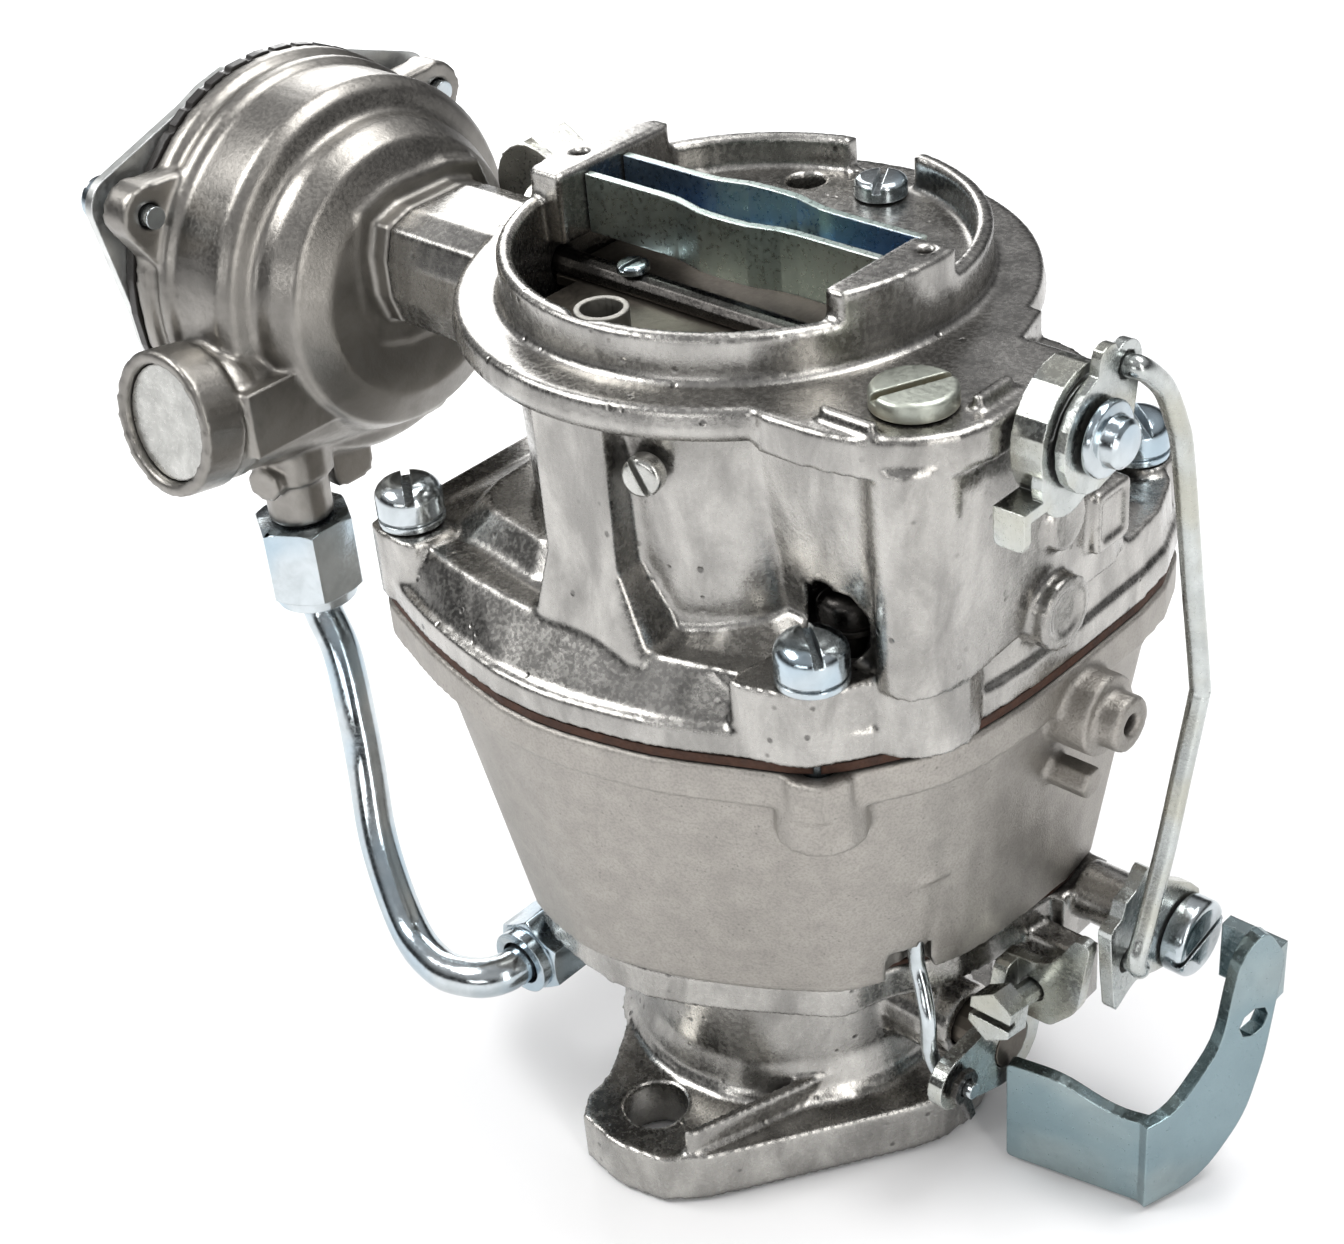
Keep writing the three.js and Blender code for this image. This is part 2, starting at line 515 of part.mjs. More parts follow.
function airHorn() {
  const { barrel, lugs } = hornBarrel();
  const right = rightBlock();
  const dThroat = rod(THROAT_R, [0, 0, 106], [0, 0, PLATFORM_Z + 0.1], 44).intersect(
    box([-40, 40], [-40, CHORD_Y], [100, 150]),
  );
  const bowlSide = plate(outline(inset(BOWL_WAIST, 6)), "z", [COVER_Z[0] - 1, 96.5], 1);
  const bowlRoof = cut(bowlSide, rod(24, [0, 0, 88], [0, 0, 98], 24), box([10, 50], [-30, 26], [88, 98]));
  const ventBore = rod(VENT_R + GAP, [...VENT, 108], [...VENT, RIM_TOP + 1], 14);
  const carved = cut(
    join(barrel, coverFlange(), deck(), right.body, frontStrut(), chokeNeck()),
    rod(THROAT_R, [0, 0, PLATFORM_Z], [0, 0, 160], 44),
    dThroat,
    rod(19.4, [0, 0, 80], [0, 0, 96], 40, 19.4),
    rod(18.6, [0, 0.4, 93], [0, -2, 108], 32, 28),
    box([-6.5, 5], [24, 40], [PLATFORM_Z, 160]),
    bowlRoof,
    ventBore,
    rod(CHOKE_SHAFT_R + GAP, [-60, CHOKE_Y, CHOKE_Z], [56, CHOKE_Y, CHOKE_Z], 16),
    rod(3, [-10, 25, 120], [-10, 25, 150], 8),
    rod(PUMP_R - 0.2, [...PUMP, 80], [...PUMP, 97], 14),
    rod(3.6, [...PLUG, 130], [...PLUG, 145], 14),
    rod(3.7, [32, 12, 80], [32, 12, 104], 8),
    rod(5, [...NEEDLE, 80], [...NEEDLE, 120], 14),
    rod(4.6, [-45, INLET_Y, INLET_Z], [-32, INLET_Y, INLET_Z], 14),
    rod(2, [-34, INLET_Y, INLET_Z], [...NEEDLE, 117], 6),
    rod(2.6, [2.5, 26.5, 132], [2.5, 26.5, 142], 8),
    rod(3.6, [51, 1.7, 102.3], [53, 1.7, 102.3], 14),
    plate(
      outline([[10.8, 107.7, 0.6], [16.4, 107.7, 0.6], [16.4, 114.6, 0.6], [10.8, 114.6, 0.6]]), "x",
      [50.1, 52], 2,
    ),
    ...[...Object.values(COVER_SCREWS), WELL_SCREW].map(([x, y]) => rod(2.6, [x, y, 88], [x, y, 104], 8)),
    rod(5.6, [...WELL_SCREW, 103], [...WELL_SCREW, 112], 14),
    rod(5, [...WELL_SCREW, 103], [WELL_SCREW[0] + 4, WELL_SCREW[1] - 9, 108], 8),
  );
  return cut(
    join(carved, lugs, right.marks, hingeTab([8, 11]), hingeTab([31, 34])),
    rod(1.3, [HINGE[0], 5, HINGE[1]], [HINGE[0], 37, HINGE[1]], 6),
    rod(1.2, [30.3, 0.5, 145], [30.3, 0.5, 152], 6),
    rod(1.2, [-30.3, 0.5, 145], [-30.3, 0.5, 152], 6),
  );
}
add("air_horn", airHorn(), POLISHED);

// ---- Cover screws: cheese heads with a crown and a washer face ----
function coverScrew([x, y], seat) {
  const head = slottedHead(
    5, 6.6, [x, y, seat + GAP], [0, 0, 1], { crown: 2, slot: 1.4, depth: 2, spin: 0.9 },
  );
  const shank = rod(2.2, [x, y, 81], [x, y, seat + 1], 8);
  return join(head, shank);
}
for (const [corner, place] of Object.entries(COVER_SCREWS)) add(
  `cover_screw_${corner}`, coverScrew(place, SEAT_Z), ZINC,
);
add("well_screw", (() => {
  const head = slottedHead(
    4.5, 5.6, [...WELL_SCREW, 103.3], [0, 0, 1], { crown: 1.8, slot: 1.3, depth: 1.8, spin: -0.5 },
  );
  return join(head, rod(2.2, [...WELL_SCREW, 81], [...WELL_SCREW, 104], 8));
})(), BLACK_STEEL);
add("pump_well_plug", (() => {
  const head = slottedHead(
    6.1, 2.9, [...PLUG, DISC_Z[1] + GAP], [0, 0, 1], { crown: 0.9, slot: 1.5, depth: 1.5, spin: -1.1 },
  );
  return join(head, rod(3.2, [...PLUG, 131], [...PLUG, DISC_Z[1] + 1], 8));
})(), ZINC);
add(
  "horn_side_screw", slottedHead(2.6, 2.4, [10.2, -32.4, 126.6], [0.3, -0.95, 0.1], { slot: 1 }),
  BLACK_STEEL,
);
add("platform_screw", join(
  slottedHead(3.8, 2.6, [2.5, 26.5, PLATFORM_Z + GAP], [0, 0, 1], { slot: 1.2, spin: 0.5 }),
  rod(2.2, [2.5, 26.5, 134], [2.5, 26.5, PLATFORM_Z + 1], 8),
), ZINC);

// ---- Air cleaner stud bridge: a pressed channel between the two lugs ----
function studBridge() {
  const end = 26.3;
  const run = (low, high, swell) => [
    [-end, low], [-9, low, 3], [-4.5, low - swell, 3], [4.5, low - swell, 3], [9, low, 3], [end, low],
    [end, high], [9, high, 3], [4.5, high + swell, 3], [-4.5, high + swell, 3], [-9, high, 3],
    [-end, high],
  ];
  const inside = run(-1.8, 4.8, 1.6).map(([u, v, r]) => [Math.abs(u) === end ? u * 1.1 : u, v, r]);
  return cut(
    plate(outline(run(-3, 6, 1.6)), "z", [139.8, 148.5], 2),
    plate(outline(inside), "z", [141.1, 150], 2),
    rod(3.2, [0, 1.5, 139], [0, 1.5, 142], 14),
  );
}
add("stud_bridge", studBridge(), ZINC);

// ---- Fuel inlet, needle and float ----
add("fuel_inlet_fitting", cut(
  join(
    rod(7.4, [INLET_X, 11.4, INLET_TOP_Z], [INLET_X, 13, INLET_TOP_Z], 24),
    hexagon(16.6, [INLET_X, 12.6, INLET_TOP_Z], [INLET_X, 19.8, INLET_TOP_Z]),
    rod(5.2, [INLET_X, INLET_Y, INLET_Z + 1], [-41.6, INLET_Y, INLET_Z]),
    rod(4.2, [-42, INLET_Y, INLET_Z], [-35, INLET_Y, INLET_Z], 14),
  ),
  rod(3, [INLET_X, 12, INLET_TOP_Z], [INLET_X, 21, INLET_TOP_Z], 12),
), ZINC);
add("needle_seat", cut(
  join(rod(4.7, [...NEEDLE, 84], [...NEEDLE, 100], 14), hexagon(12.4, [...NEEDLE, 82.6], [...NEEDLE, 85])),
  rod(2.2, [...NEEDLE, 82], [...NEEDLE, 101], 8),
), BRASS);
add(
  "needle_valve",
  turned([[0, 0], [1.8, 0], [1.8, 12], [0.4, 14.5], [0, 14.5]], [...NEEDLE, 80.4], [0, 0, 1], 8), BRASS,
);

function floatAssembly() {
  const lever = join(
    rod(2, [HINGE[0], 11.4, HINGE[1]], [HINGE[0], 30.6, HINGE[1]], 8),
    box([HINGE[0], -29], [11.4, 30.6], [78.5, 80]),
    box([-31, -24.4], [-31, 34], [78.5, 80]),
    box([-25, -18], [-31, -24.4], [78.5, 80]),
  );
  const pontoon = (x, y) => {
    const sides = [[x[0], y[0], 3], [x[1], y[0], 3], [x[1], y[1], 3], [x[0], y[1], 3]];
    return plate(outline(sides), "z", [58, 79], 2);
  };
  return cut(
    join(lever, pontoon([-21, 8], [-31.2, -24]), pontoon([-25, 24], [25.5, 35])),
    rod(1.3, [HINGE[0], 5, HINGE[1]], [HINGE[0], 37, HINGE[1]], 6),
  );
}
add("float_assembly", floatAssembly(), BRASS);
add("float_hinge_pin", rod(1, [HINGE[0], 8, HINGE[1]], [HINGE[0], 34, HINGE[1]], 6), ZINC);

// ---- Metering: main nozzle, main jet and power piston ----
add("booster_venturi", cut(
  join(rod(8, [0, 0, 84], [0, 0, 102], 20), box([-2.6, 2.6], [-18.8, -5], [91, 95.5])),
  turned([[0, 85], [5.4, 85], [5.4, 96], [6.8, 105], [0, 105]], [0, 0, 0], [0, 0, 1], 14),
), ALLOY);
add(
  "main_jet",
  cut(hexagon(6.4, [-6, -30.5, 45.6], [-6, -30.5, 48.8]), rod(0.9, [-6, -30.5, 45], [-6, -30.5, 50], 5)),
  BRASS,
);
const POWER = [32, 12];
add(
  "power_piston",
  join(rod(3.3, [...POWER, 66], [...POWER, 100], 8), rod(1.2, [...POWER, 52], [...POWER, 67], 5)), BRASS,
);

// ---- Accelerator pump ----
add("pump_plunger", join(
  rod(1.9, [...PUMP, 50.6], [...PUMP, 90], 8),
  turned(
    [[0, 0], [3.9, 0], [3.9, 2.4], [3.4, 3.2], [3.4, 4.6], [0, 4.6]],
    [...PUMP, PUMP_CUP_Z[0]], [0, 0, 1], 14,
  ),
), BRASS);

// A coil spring around an axis, as one wire with its ends closed.
function spring(start, direction, radius, wire, turns, pitch) {
  const stepsPerTurn = 8;
  const points = [];
  for (let i = 0; i <= turns * stepsPerTurn; i++) {
    const angle = (2 * Math.PI * i) / stepsPerTurn;
    points.push(
      new THREE.Vector3(radius * Math.cos(angle), radius * Math.sin(angle), (pitch * i) / stepsPerTurn),
    );
  }
  const turn = new THREE.Quaternion().setFromUnitVectors(
    new THREE.Vector3(0, 0, 1), new THREE.Vector3(...direction),
  );
  const placed = points.map((p) => p.applyQuaternion(turn).add(new THREE.Vector3(...start)).toArray());
  return tube(placed, wire, turns * stepsPerTurn, 5);
}
add("pump_spring", spring([...PUMP, PUMP_CUP_Z[1] + 1.2], [0, 0, 1], 2.9, 0.6, 5, 2), ZINC);

const LINK_EYE = [-13.5, 24]; // y and z of the pump link's lower hook
add("pump_link", tube(
  [
    [...PUMP, 48.6], [...PUMP, 42], [36.8, -12.3, 38.2], [38.7, -13.6, 34], [39.2, -14, 28.6],
    [39.9, LINK_EYE[0], 25], [42, ...LINK_EYE], [47, ...LINK_EYE],
  ],
  1.25, 22, 7,
), ZINC);
add("pump_cotter_pin", cut(
  join(
    rod(2.9, [44.6, ...LINK_EYE], [45.6, ...LINK_EYE], 8),
    plate(outline([[-14.4, 21.5], [-12.6, 21.5], [-11.4, 17], [-12.6, 16.6]]), "x", [44.6, 45.6]),
  ),
  rod(1.6, [44, ...LINK_EYE], [46, ...LINK_EYE], 8),
), BLACK_STEEL);

// ---- Automatic choke housing ----
const PLUG_DIRECTION = [0, Math.cos(10 * DEG), -Math.sin(10 * DEG)];
const CYLINDER_FRONT = [PISTON_X, -48.3, 114.4];
const alongCylinder = (s) => CYLINDER_FRONT.map((v, i) => v + s * PLUG_DIRECTION[i]);
const COVER_LUGS = [30, 150, 270].map((angle) => [
  HOUSING_Y + 33.5 * Math.cos(angle * DEG),
  HOUSING_Z + 33.5 * Math.sin(angle * DEG),
]);
const HOUSING_X = -89; // joint of the choke housing and its cap
const TUBE_BOSS = [PISTON_X, -26.6];

function chokeHousing() {
  const centre = [HOUSING_X, HOUSING_Y, HOUSING_Z];
  const bell = turned(
    [
      [0, 0], [31, 0], [31, 2.6], [29.6, 3.6], [30.4, 4.8], [30.4, 6.8], [29.4, 7.6], [29.6, 17.4],
      [28.2, 19.2], [24.8, 20.4], [24.4, 23], [22.4, 26.6], [17, 29], [0, 29],
    ],
    centre, X_AXIS, 36,
  );
  const neck = plate(
    outline([[-16.5, 121, 6], [6, 121, 6], [6, 139.2, 6], [-16.5, 139.2, 6]]), "x", [-66, -56.3], 2,
  );
  const collar = plate(
    outline([[-19, 117, 8], [9, 117, 8], [9, 142, 8], [-19, 142, 8]]), "x", [-64, -59.6], 2,
  );
  const lugs = COVER_LUGS.map(
    ([y, z]) => plate(belt([HOUSING_Y, HOUSING_Z, 20], [y, z, 4.6]), "x", [HOUSING_X, HOUSING_X + 5.5], 6),
  );
  const cylinder = join(
    rod(10.3, alongCylinder(6), alongCylinder(50), 28),
    rod(11.2, alongCylinder(0), alongCylinder(7), 32),
    rod(10.7, alongCylinder(8.4), alongCylinder(10.6), 28),
    box([PISTON_X - 5, PISTON_X + 11], [-40, 0], [108, 118.6]),
  );
  const tubeBoss = join(
    rod(5.3, [...TUBE_BOSS, 88.8], [...TUBE_BOSS, 108], 14),
    rod(6.6, [...TUBE_BOSS, 96.5], [...TUBE_BOSS, 108], 14),
    rod(3, [PISTON_X, -26.6, 98.5], [PISTON_X + 2.4, -34.6, 98], 8),
    plate(outline([[-20, 90, 2], [-12, 90, 2], [-12, 104], [-20, 104]]), "x", [-76.5, -73.5], 2),
  );
  return cut(
    join(bell, neck, collar, ...lugs, cylinder, tubeBoss),
    rod(26.8, [HOUSING_X - 1, HOUSING_Y, HOUSING_Z], [-76, HOUSING_Y, HOUSING_Z], 32),
    rod(7, alongCylinder(-1), alongCylinder(44), 24),
    rod(9.2, alongCylinder(-1), alongCylinder(5), 28),
    box([-79, PISTON_X + 0.5], [-14, 2], [108, 118]),
    rod(CHOKE_SHAFT_R + GAP, [-80, CHOKE_Y, CHOKE_Z], [-50, CHOKE_Y, CHOKE_Z], 14),
    rod(3.4, [...TUBE_BOSS, 88], [...TUBE_BOSS, 99], 8),
    ...COVER_LUGS.map(([y, z]) => rod(2, [HOUSING_X - 1, y, z], [-80, y, z], 8)),
  );
}
add("choke_housing", chokeHousing(), SATIN);

// Black cap with a toothed edge that sets the spring's tension.
function chokeCover() {
  const cap = turned(
    [[0, 0], [31.2, 0], [31.2, 1.6], [24.8, 1.6], [24.2, 9], [22.4, 10.6], [0, 10.6]],
    [HOUSING_X - GAP, HOUSING_Y, HOUSING_Z], [-1, 0, 0], 36,
  );
  const notches = [];
  for (let angle = 54; angle <= 126; angle += 8) {
    const [y, z] = [HOUSING_Y + 31.4 * Math.cos(angle * DEG), HOUSING_Z + 31.4 * Math.sin(angle * DEG)];
    notches.push(rod(0.8, [HOUSING_X, y, z], [HOUSING_X - 2.2, y, z], 6));
  }
  const post = rod(3, [HOUSING_X - 1, HOUSING_Y, HOUSING_Z], [-82.6, HOUSING_Y, HOUSING_Z], 8);
  return join(cut(cap, ...notches), post);
}
add("choke_cover", chokeCover(), BAKELITE);

function chokeRetainer() {
  const reach = [HOUSING_X - 3.8, HOUSING_X - 2.2];
  const arms = COVER_LUGS.map(
    ([y, z]) => plate(belt([HOUSING_Y, HOUSING_Z, 30.2], [y, z, 4.8]), "x", reach, 24),
  );
  return cut(
    join(rod(30.6, [reach[0], HOUSING_Y, HOUSING_Z], [reach[1], HOUSING_Y, HOUSING_Z], 36), ...arms),
    rod(25.2, [reach[0] - 1, HOUSING_Y, HOUSING_Z], [reach[1] + 1, HOUSING_Y, HOUSING_Z], 32),
    ...COVER_LUGS.map(([y, z]) => rod(2, [reach[0] - 1, y, z], [reach[1] + 1, y, z], 8)),
  );
}
add("choke_retainer", chokeRetainer(), ZINC);

COVER_LUGS.forEach(([y, z], i) => {
  const head = slottedHead(
    3.7, 3.2, [HOUSING_X - 4.1, y, z], [-1, 0, 0], { crown: 1.2, slot: 1.1, spin: i },
  );
  add(`choke_cover_screw_${i + 1}`, join(head, rod(1.7, [HOUSING_X - 5, y, z], [-82, y, z], 6)), ZINC);
});

// Bimetal spiral around the cap's post.
function chokeCoil() {
  const [inner, growth, turns, strip] = [4.2, 3.2, 3, 0.9];
  const edge = (offset) => Array.from({ length: turns * 14 + 1 }, (_, i) => {
    const angle = (i / 14) * 2 * Math.PI;
    const r = inner + (growth * i) / 14 + offset;
    return [HOUSING_Y + r * Math.cos(angle), HOUSING_Z + r * Math.sin(angle)];
  });
  return plate(outline([...edge(0), ...edge(strip).reverse()]), "x", [-87.4, -83.4], 1);
}
add("choke_coil", chokeCoil(), BRASS);

add("choke_inner_lever", cut(
  plate(belt([CHOKE_Y, CHOKE_Z, 4.6], [HOUSING_Y, 121, 3]), "x", [-78.8, -77.4], 5),
  rod(CHOKE_SHAFT_R + GAP, [-80, CHOKE_Y, CHOKE_Z], [-76, CHOKE_Y, CHOKE_Z], 8),
), ZINC);
add("choke_piston", cut(
  rod(6.6, alongCylinder(25), alongCylinder(39), 20),
  rod(5, alongCylinder(28), alongCylinder(40), 16),
), ALLOY);
add("choke_cylinder_plug", rod(8.9, alongCylinder(1.3), alongCylinder(4.6), 28), ALLOY);

// ---- Hot air tube and its nuts ----
const NUT_Y = [-36, -26];
add("tube_nut_upper", cut(
  join(
    hexagon(16.5, [...TUBE_BOSS, 75.5], [...TUBE_BOSS, 88.5]),
    rod(6.6, [...TUBE_BOSS, 73.6], [...TUBE_BOSS, 76], 14),
  ),
  rod(TUBE_R + 0.8, [...TUBE_BOSS, 73], [...TUBE_BOSS, 89], 8),
), ZINC);
add("tube_nut_lower", cut(
  join(
    hexagon(13.6, [-26, NUT_Y[0] + 2, 26], [-26, NUT_Y[1], 26]),
    rod(5.4, [-26, NUT_Y[0], 26], [-26, NUT_Y[0] + 3, 26], 18),
  ),
  rod(TUBE_R + 0.6, [-26, NUT_Y[0] - 1, 26], [-26, NUT_Y[1] + 1, 26], 8),
), ZINC);
add("choke_tube", tube(
  [
    [...TUBE_BOSS, 84], [...TUBE_BOSS, 78], [...TUBE_BOSS, 73.4], [-74, -26.8, 70], [-69.5, -28, 64.5],
    [-65.4, -30.4, 55], [-62.6, -32.4, 46.6], [-57, -36.6, 35.4], [-47, -41, 25.8], [-37, -43.6, 24.6],
    [-30, -42.6, 25.4], [-26.6, -39.6, 25.9], [-26, -35, 26], [-26, -29, 26],
  ],
  TUBE_R, 40, 10,
), ZINC);

// ---- Choke shaft, valve and levers ----
function chokeShaft() {
  return cut(
    rod(CHOKE_SHAFT_R, [-79.2, CHOKE_Y, CHOKE_Z], [60.6, CHOKE_Y, CHOKE_Z], 14),
    box([-30.8, 30.8], [CHOKE_Y - 4, CHOKE_Y + 4], [CHOKE_Z - 4, CHOKE_Z - 0.3]),
    rod(1.4, [VALVE_SCREW_X, CHOKE_Y, CHOKE_Z - 4], [VALVE_SCREW_X, CHOKE_Y, CHOKE_Z + 4], 6),
  );
}
add("choke_shaft", chokeShaft(), BLACK_STEEL);

function chokeValve() {
  const halfWidth = THROAT_R - 1;
  const disc = rod(THROAT_R - 0.5, [0, 0, VALVE_Z[0]], [0, 0, VALVE_Z[1]], 36)
    .intersect(box([-halfWidth, halfWidth], [-40, 40], [130, 140]));
  const rearEdge = box([-40, 40], [CHORD_Y - 0.6, 40], [130, 140]);
  const lugRelief = (side) => {
    const [near, far] = [25.4 * side, 40 * side];
    return box([Math.min(near, far), Math.max(near, far)], [-18, CHOKE_Y - 2.6], [130, 140]);
  };
  return cut(
    disc, rearEdge, lugRelief(1), lugRelief(-1),
    rod(VENT_R + 0.7, [...VENT, 130], [...VENT, 140], 14),
    rod(1.4, [VALVE_SCREW_X, CHOKE_Y, 130], [VALVE_SCREW_X, CHOKE_Y, 140], 6),
    rod(1.7, [20, -12, 130], [20, -12, 140], 8),
  );
}
add("choke_valve", chokeValve(), GREY_STEEL);
add("choke_valve_screw", join(
  slottedHead(
    2.4, 1.2, [VALVE_SCREW_X, CHOKE_Y, CHOKE_Z + 2.4], [0, 0, 1], { crown: 0.5, slot: 0.8, depth: 0.6 },
  ),
  rod(1.1, [VALVE_SCREW_X, CHOKE_Y, CHOKE_Z - 2.8], [VALVE_SCREW_X, CHOKE_Y, CHOKE_Z + 2.8], 5),
), ZINC);
add("vent_tube", cut(
  rod(VENT_R, [...VENT, 109], [...VENT, VENT_TOP], 16),
  rod(VENT_R - 0.8, [...VENT, 110.5], [...VENT, VENT_TOP + 1], 14),
), ALLOY);

function chokeLever() {
  const disc = plate(belt([CHOKE_Y, CHOKE_Z, 7.4], [HOOK[0], HOOK[1], 3.2]), "x", [58.8, 60.2], 6);
  const tail = plate(
    outline([[-6, 140], [-4.8, 146, 1], [-1.8, 146.2, 1], [-0.6, 140]]), "x", [58.8, 60.2], 2,
  );
  return cut(
    join(disc, tail),
    rod(CHOKE_SHAFT_R + GAP, [58, CHOKE_Y, CHOKE_Z], [61, CHOKE_Y, CHOKE_Z], 8),
    rod(ROD_R + 0.5, [58, ...HOOK], [61, ...HOOK], 8),
  );
}
add("choke_lever", chokeLever(), YELLOW_ZINC);

function tripLever() {
  const web = plate(belt([CHOKE_Y, CHOKE_Z, 7], [CHOKE_Y - 3, CHOKE_Z - 4, 6]), "x", [56.6, 58.2], 6);
  const band = cut(
    rod(9.2, [53.6, CHOKE_Y, CHOKE_Z], [58.2, CHOKE_Y, CHOKE_Z], 24),
    rod(7.8, [53, CHOKE_Y, CHOKE_Z], [59, CHOKE_Y, CHOKE_Z], 24),
    box([50, 60], [CHOKE_Y + 1.5, 12], [115, 150]),
  );
  const bridgePiece = box([56.6, 58.2], [CHOKE_Y - 8.6, CHOKE_Y - 5], [CHOKE_Z - 2, CHOKE_Z + 2]);
  const tang = plate(
    outline([[53.6, -17.6, 1], [58.2, -17.6, 1], [58.2, -8], [53.6, -8]]), "z", [127.4, 129], 2,
  );
  const foot = plate(
    outline([[53.6, 123.6, 1], [58.2, 123.6, 1], [58.2, 129], [53.6, 129]]), "y", [-17.6, -16.2], 2,
  );
  return cut(
    join(web, band, bridgePiece, tang, foot),
    rod(CHOKE_SHAFT_R + GAP, [50, CHOKE_Y, CHOKE_Z], [60, CHOKE_Y, CHOKE_Z], 8),
  );
}
add("choke_trip_lever", tripLever(), YELLOW_ZINC);
add(
  "choke_shaft_nut",
  turned(
    [[0, 0], [5, 0], [5, 1], [3.4, 1.4], [3.2, 3], [2.2, 3.6], [0, 3.6]], [60.9, CHOKE_Y, CHOKE_Z], X_AXIS,
    24,
  ),
  ZINC,
);

add("choke_rod", tube(
  [
    [57.6, ...HOOK], [60.6, ...HOOK], [61.8, 0.9, 141.9], [ROD_X, 3.2, 140], [ROD_X, 6.4, 136.6],
    [ROD_X, 9.4, 131], [ROD_X, 11.4, 125], [ROD_X, 15.2, 104.6], [ROD_X, 18.6, 86.4], [ROD_X, 18.6, 83.4],
    [ROD_X, 15.2, 72.2], [ROD_X, 11.7, 60.8], [ROD_X, 7.2, 49], [ROD_X, 5.4, 44.6], [ROD_X, 6.4, 42.2],
    [60.8, 7.3, 41.7], [59.4, ...CAM_HOOK], [55.6, ...CAM_HOOK],
  ],
  ROD_R, 46, 7,
), YELLOW_ZINC);

// ---- Fast idle cam ----
function fastIdleCam() {
  const cam = outline([
    [4.6, 33.4, 1], [3.6, 41], [2.8, 49.6, 1], [5.6, 50.4], [6.6, 52.8], [9.4, 53.4], [12, 56.3, 1],
    [18, 49.6, 3], [27.6, 42.6, 4], [27.6, 32.4, 4], [18, 32.6, 3], [10, 36.2, 2],
  ]);
  return cut(
    plate(cam, "x", [57, 59.2], 2),
    rod(2.1, [56, PIVOT_Y, PIVOT_Z], [60, PIVOT_Y, PIVOT_Z], 8),
    // lost motion
    plate(belt([...CAM_HOOK, 2.1], [CAM_HOOK[0] + 3, CAM_HOOK[1] - 0.5, 2.1]), "x", [56, 60], 5),
  );
}
add("fast_idle_cam", fastIdleCam(), YELLOW_ZINC);
add("cam_screw", join(
  slottedHead(6.2, 3.6, [59.6, PIVOT_Y, PIVOT_Z], X_AXIS, { crown: 1, slot: 1.3, depth: 1.6, spin: 0.2 }),
  rod(1.6, [50.6, PIVOT_Y, PIVOT_Z], [60, PIVOT_Y, PIVOT_Z], 8),
), ZINC);

// ---- Throttle shaft, valve and levers ----
add("throttle_shaft", cut(
  rod(SHAFT_R, [-32.6, 0, SHAFT_Z], [44.1, 0, SHAFT_Z], 14),
  box([-19.9, 19.9], [-6, 6], [SHAFT_Z - 1.05, SHAFT_Z + 1.05]),
), GREY_STEEL);
add("throttle_valve", rod(BORE_R - 0.4, [0, 0, SHAFT_Z - 0.75], [0, 0, SHAFT_Z + 0.75], 36), BRASS);

function throttleLever() {
  const web = join(
    plate(belt([0, SHAFT_Z, 7.4], [...LINK_EYE, 4.4]), "x", [41.6, 44], 5),
    plate(outline([[-6, 22], [6, 22], [3.6, 38, 1], [-1, 38, 1]]), "x", [41.6, 44], 2),
  );
  const tang = plate(
    outline(
      [
        [41.6, 27.4], [49.8, 27.6, 1], [54.6, 32.8, 2], [56.6, 46.4, 1.4], [54, 46.6, 1], [50.2, 40, 2],
        [47, 38.6, 1], [41.6, 38],
      ],
    ),
    "y", [1.6, 3.6], 3,
  );
  return cut(
    join(web, tang),
    rod(SHAFT_R + GAP, [41, 0, SHAFT_Z], [45, 0, SHAFT_Z], 14),
    rod(1.7, [41, ...LINK_EYE], [45, ...LINK_EYE], 8),
    rod(2.2, idleAxis(0), idleAxis(20), 14),
  );
}
function idleAxis(s) {
  const direction = new THREE.Vector3(0, 1, -0.2).normalize();
  return IDLE_HEAD.map((v, i) => v + s * direction.getComponent(i));
}
add("throttle_lever", throttleLever(), YELLOW_ZINC);
add("idle_stop_screw", cut(
  join(hexagon(8.2, idleAxis(0), idleAxis(4.6)), rod(1.8, idleAxis(4), idleAxis(18.6), 12)),
  box([IDLE_HEAD[0] - 5, IDLE_HEAD[0] + 5], [-10, -7.6], [34.5, 35.7]),
), YELLOW_ZINC);

// An outline standing on edge: u runs along a direction in the ground plane, v is Z.
function upright(shape, thickness, [x, y], angle, curveSegments = 4) {
  const [c, s] = [Math.cos(angle * DEG), Math.sin(angle * DEG)];
  const turn = new THREE.Matrix4().makeBasis(
    new THREE.Vector3(c, s, 0), new THREE.Vector3(0, 0, 1), new THREE.Vector3(s, -c, 0),
  );
  const slab = new THREE.ExtrudeGeometry(shape, { depth: thickness, bevelEnabled: false, curveSegments });
  return solid(slab.applyMatrix4(turn).translate(x, y, 0));
}

function strapLever() {
  const arm = outline([[0, 0.6, 1], [23.2, 0.6], [23.2, 17.2], [17, 16.6, 4], [8.4, 20, 3], [0, 20, 1]]);
  const web = outline([
    [-1.4, 0.6], [9.5, 0.6, 5], [17.6, 9.3, 4], [20.8, 20.2, 3], [23.4, 39, 2], [19.4, 46, 3],
    [15, 42.6, 3], [13.8, 36.8, 2], [12.2, 26.5, 4], [4, 17.4, 4], [-1.4, 17.2],
  ]);
  return cut(
    join(
      upright(arm, 2.2, [44.5, -0.4], 11.5),
      upright(web, 2.2, [66, 3.2], 72),
      box([64.8, 74.4], [24.4, 26.8], [29.6, 39.8]),
    ),
    rod(2.7, [66, 19.8, 28.4], [80, 19.8, 28.4], 8),
  );
}
add("strap_lever", strapLever(), TEAL_ZINC);

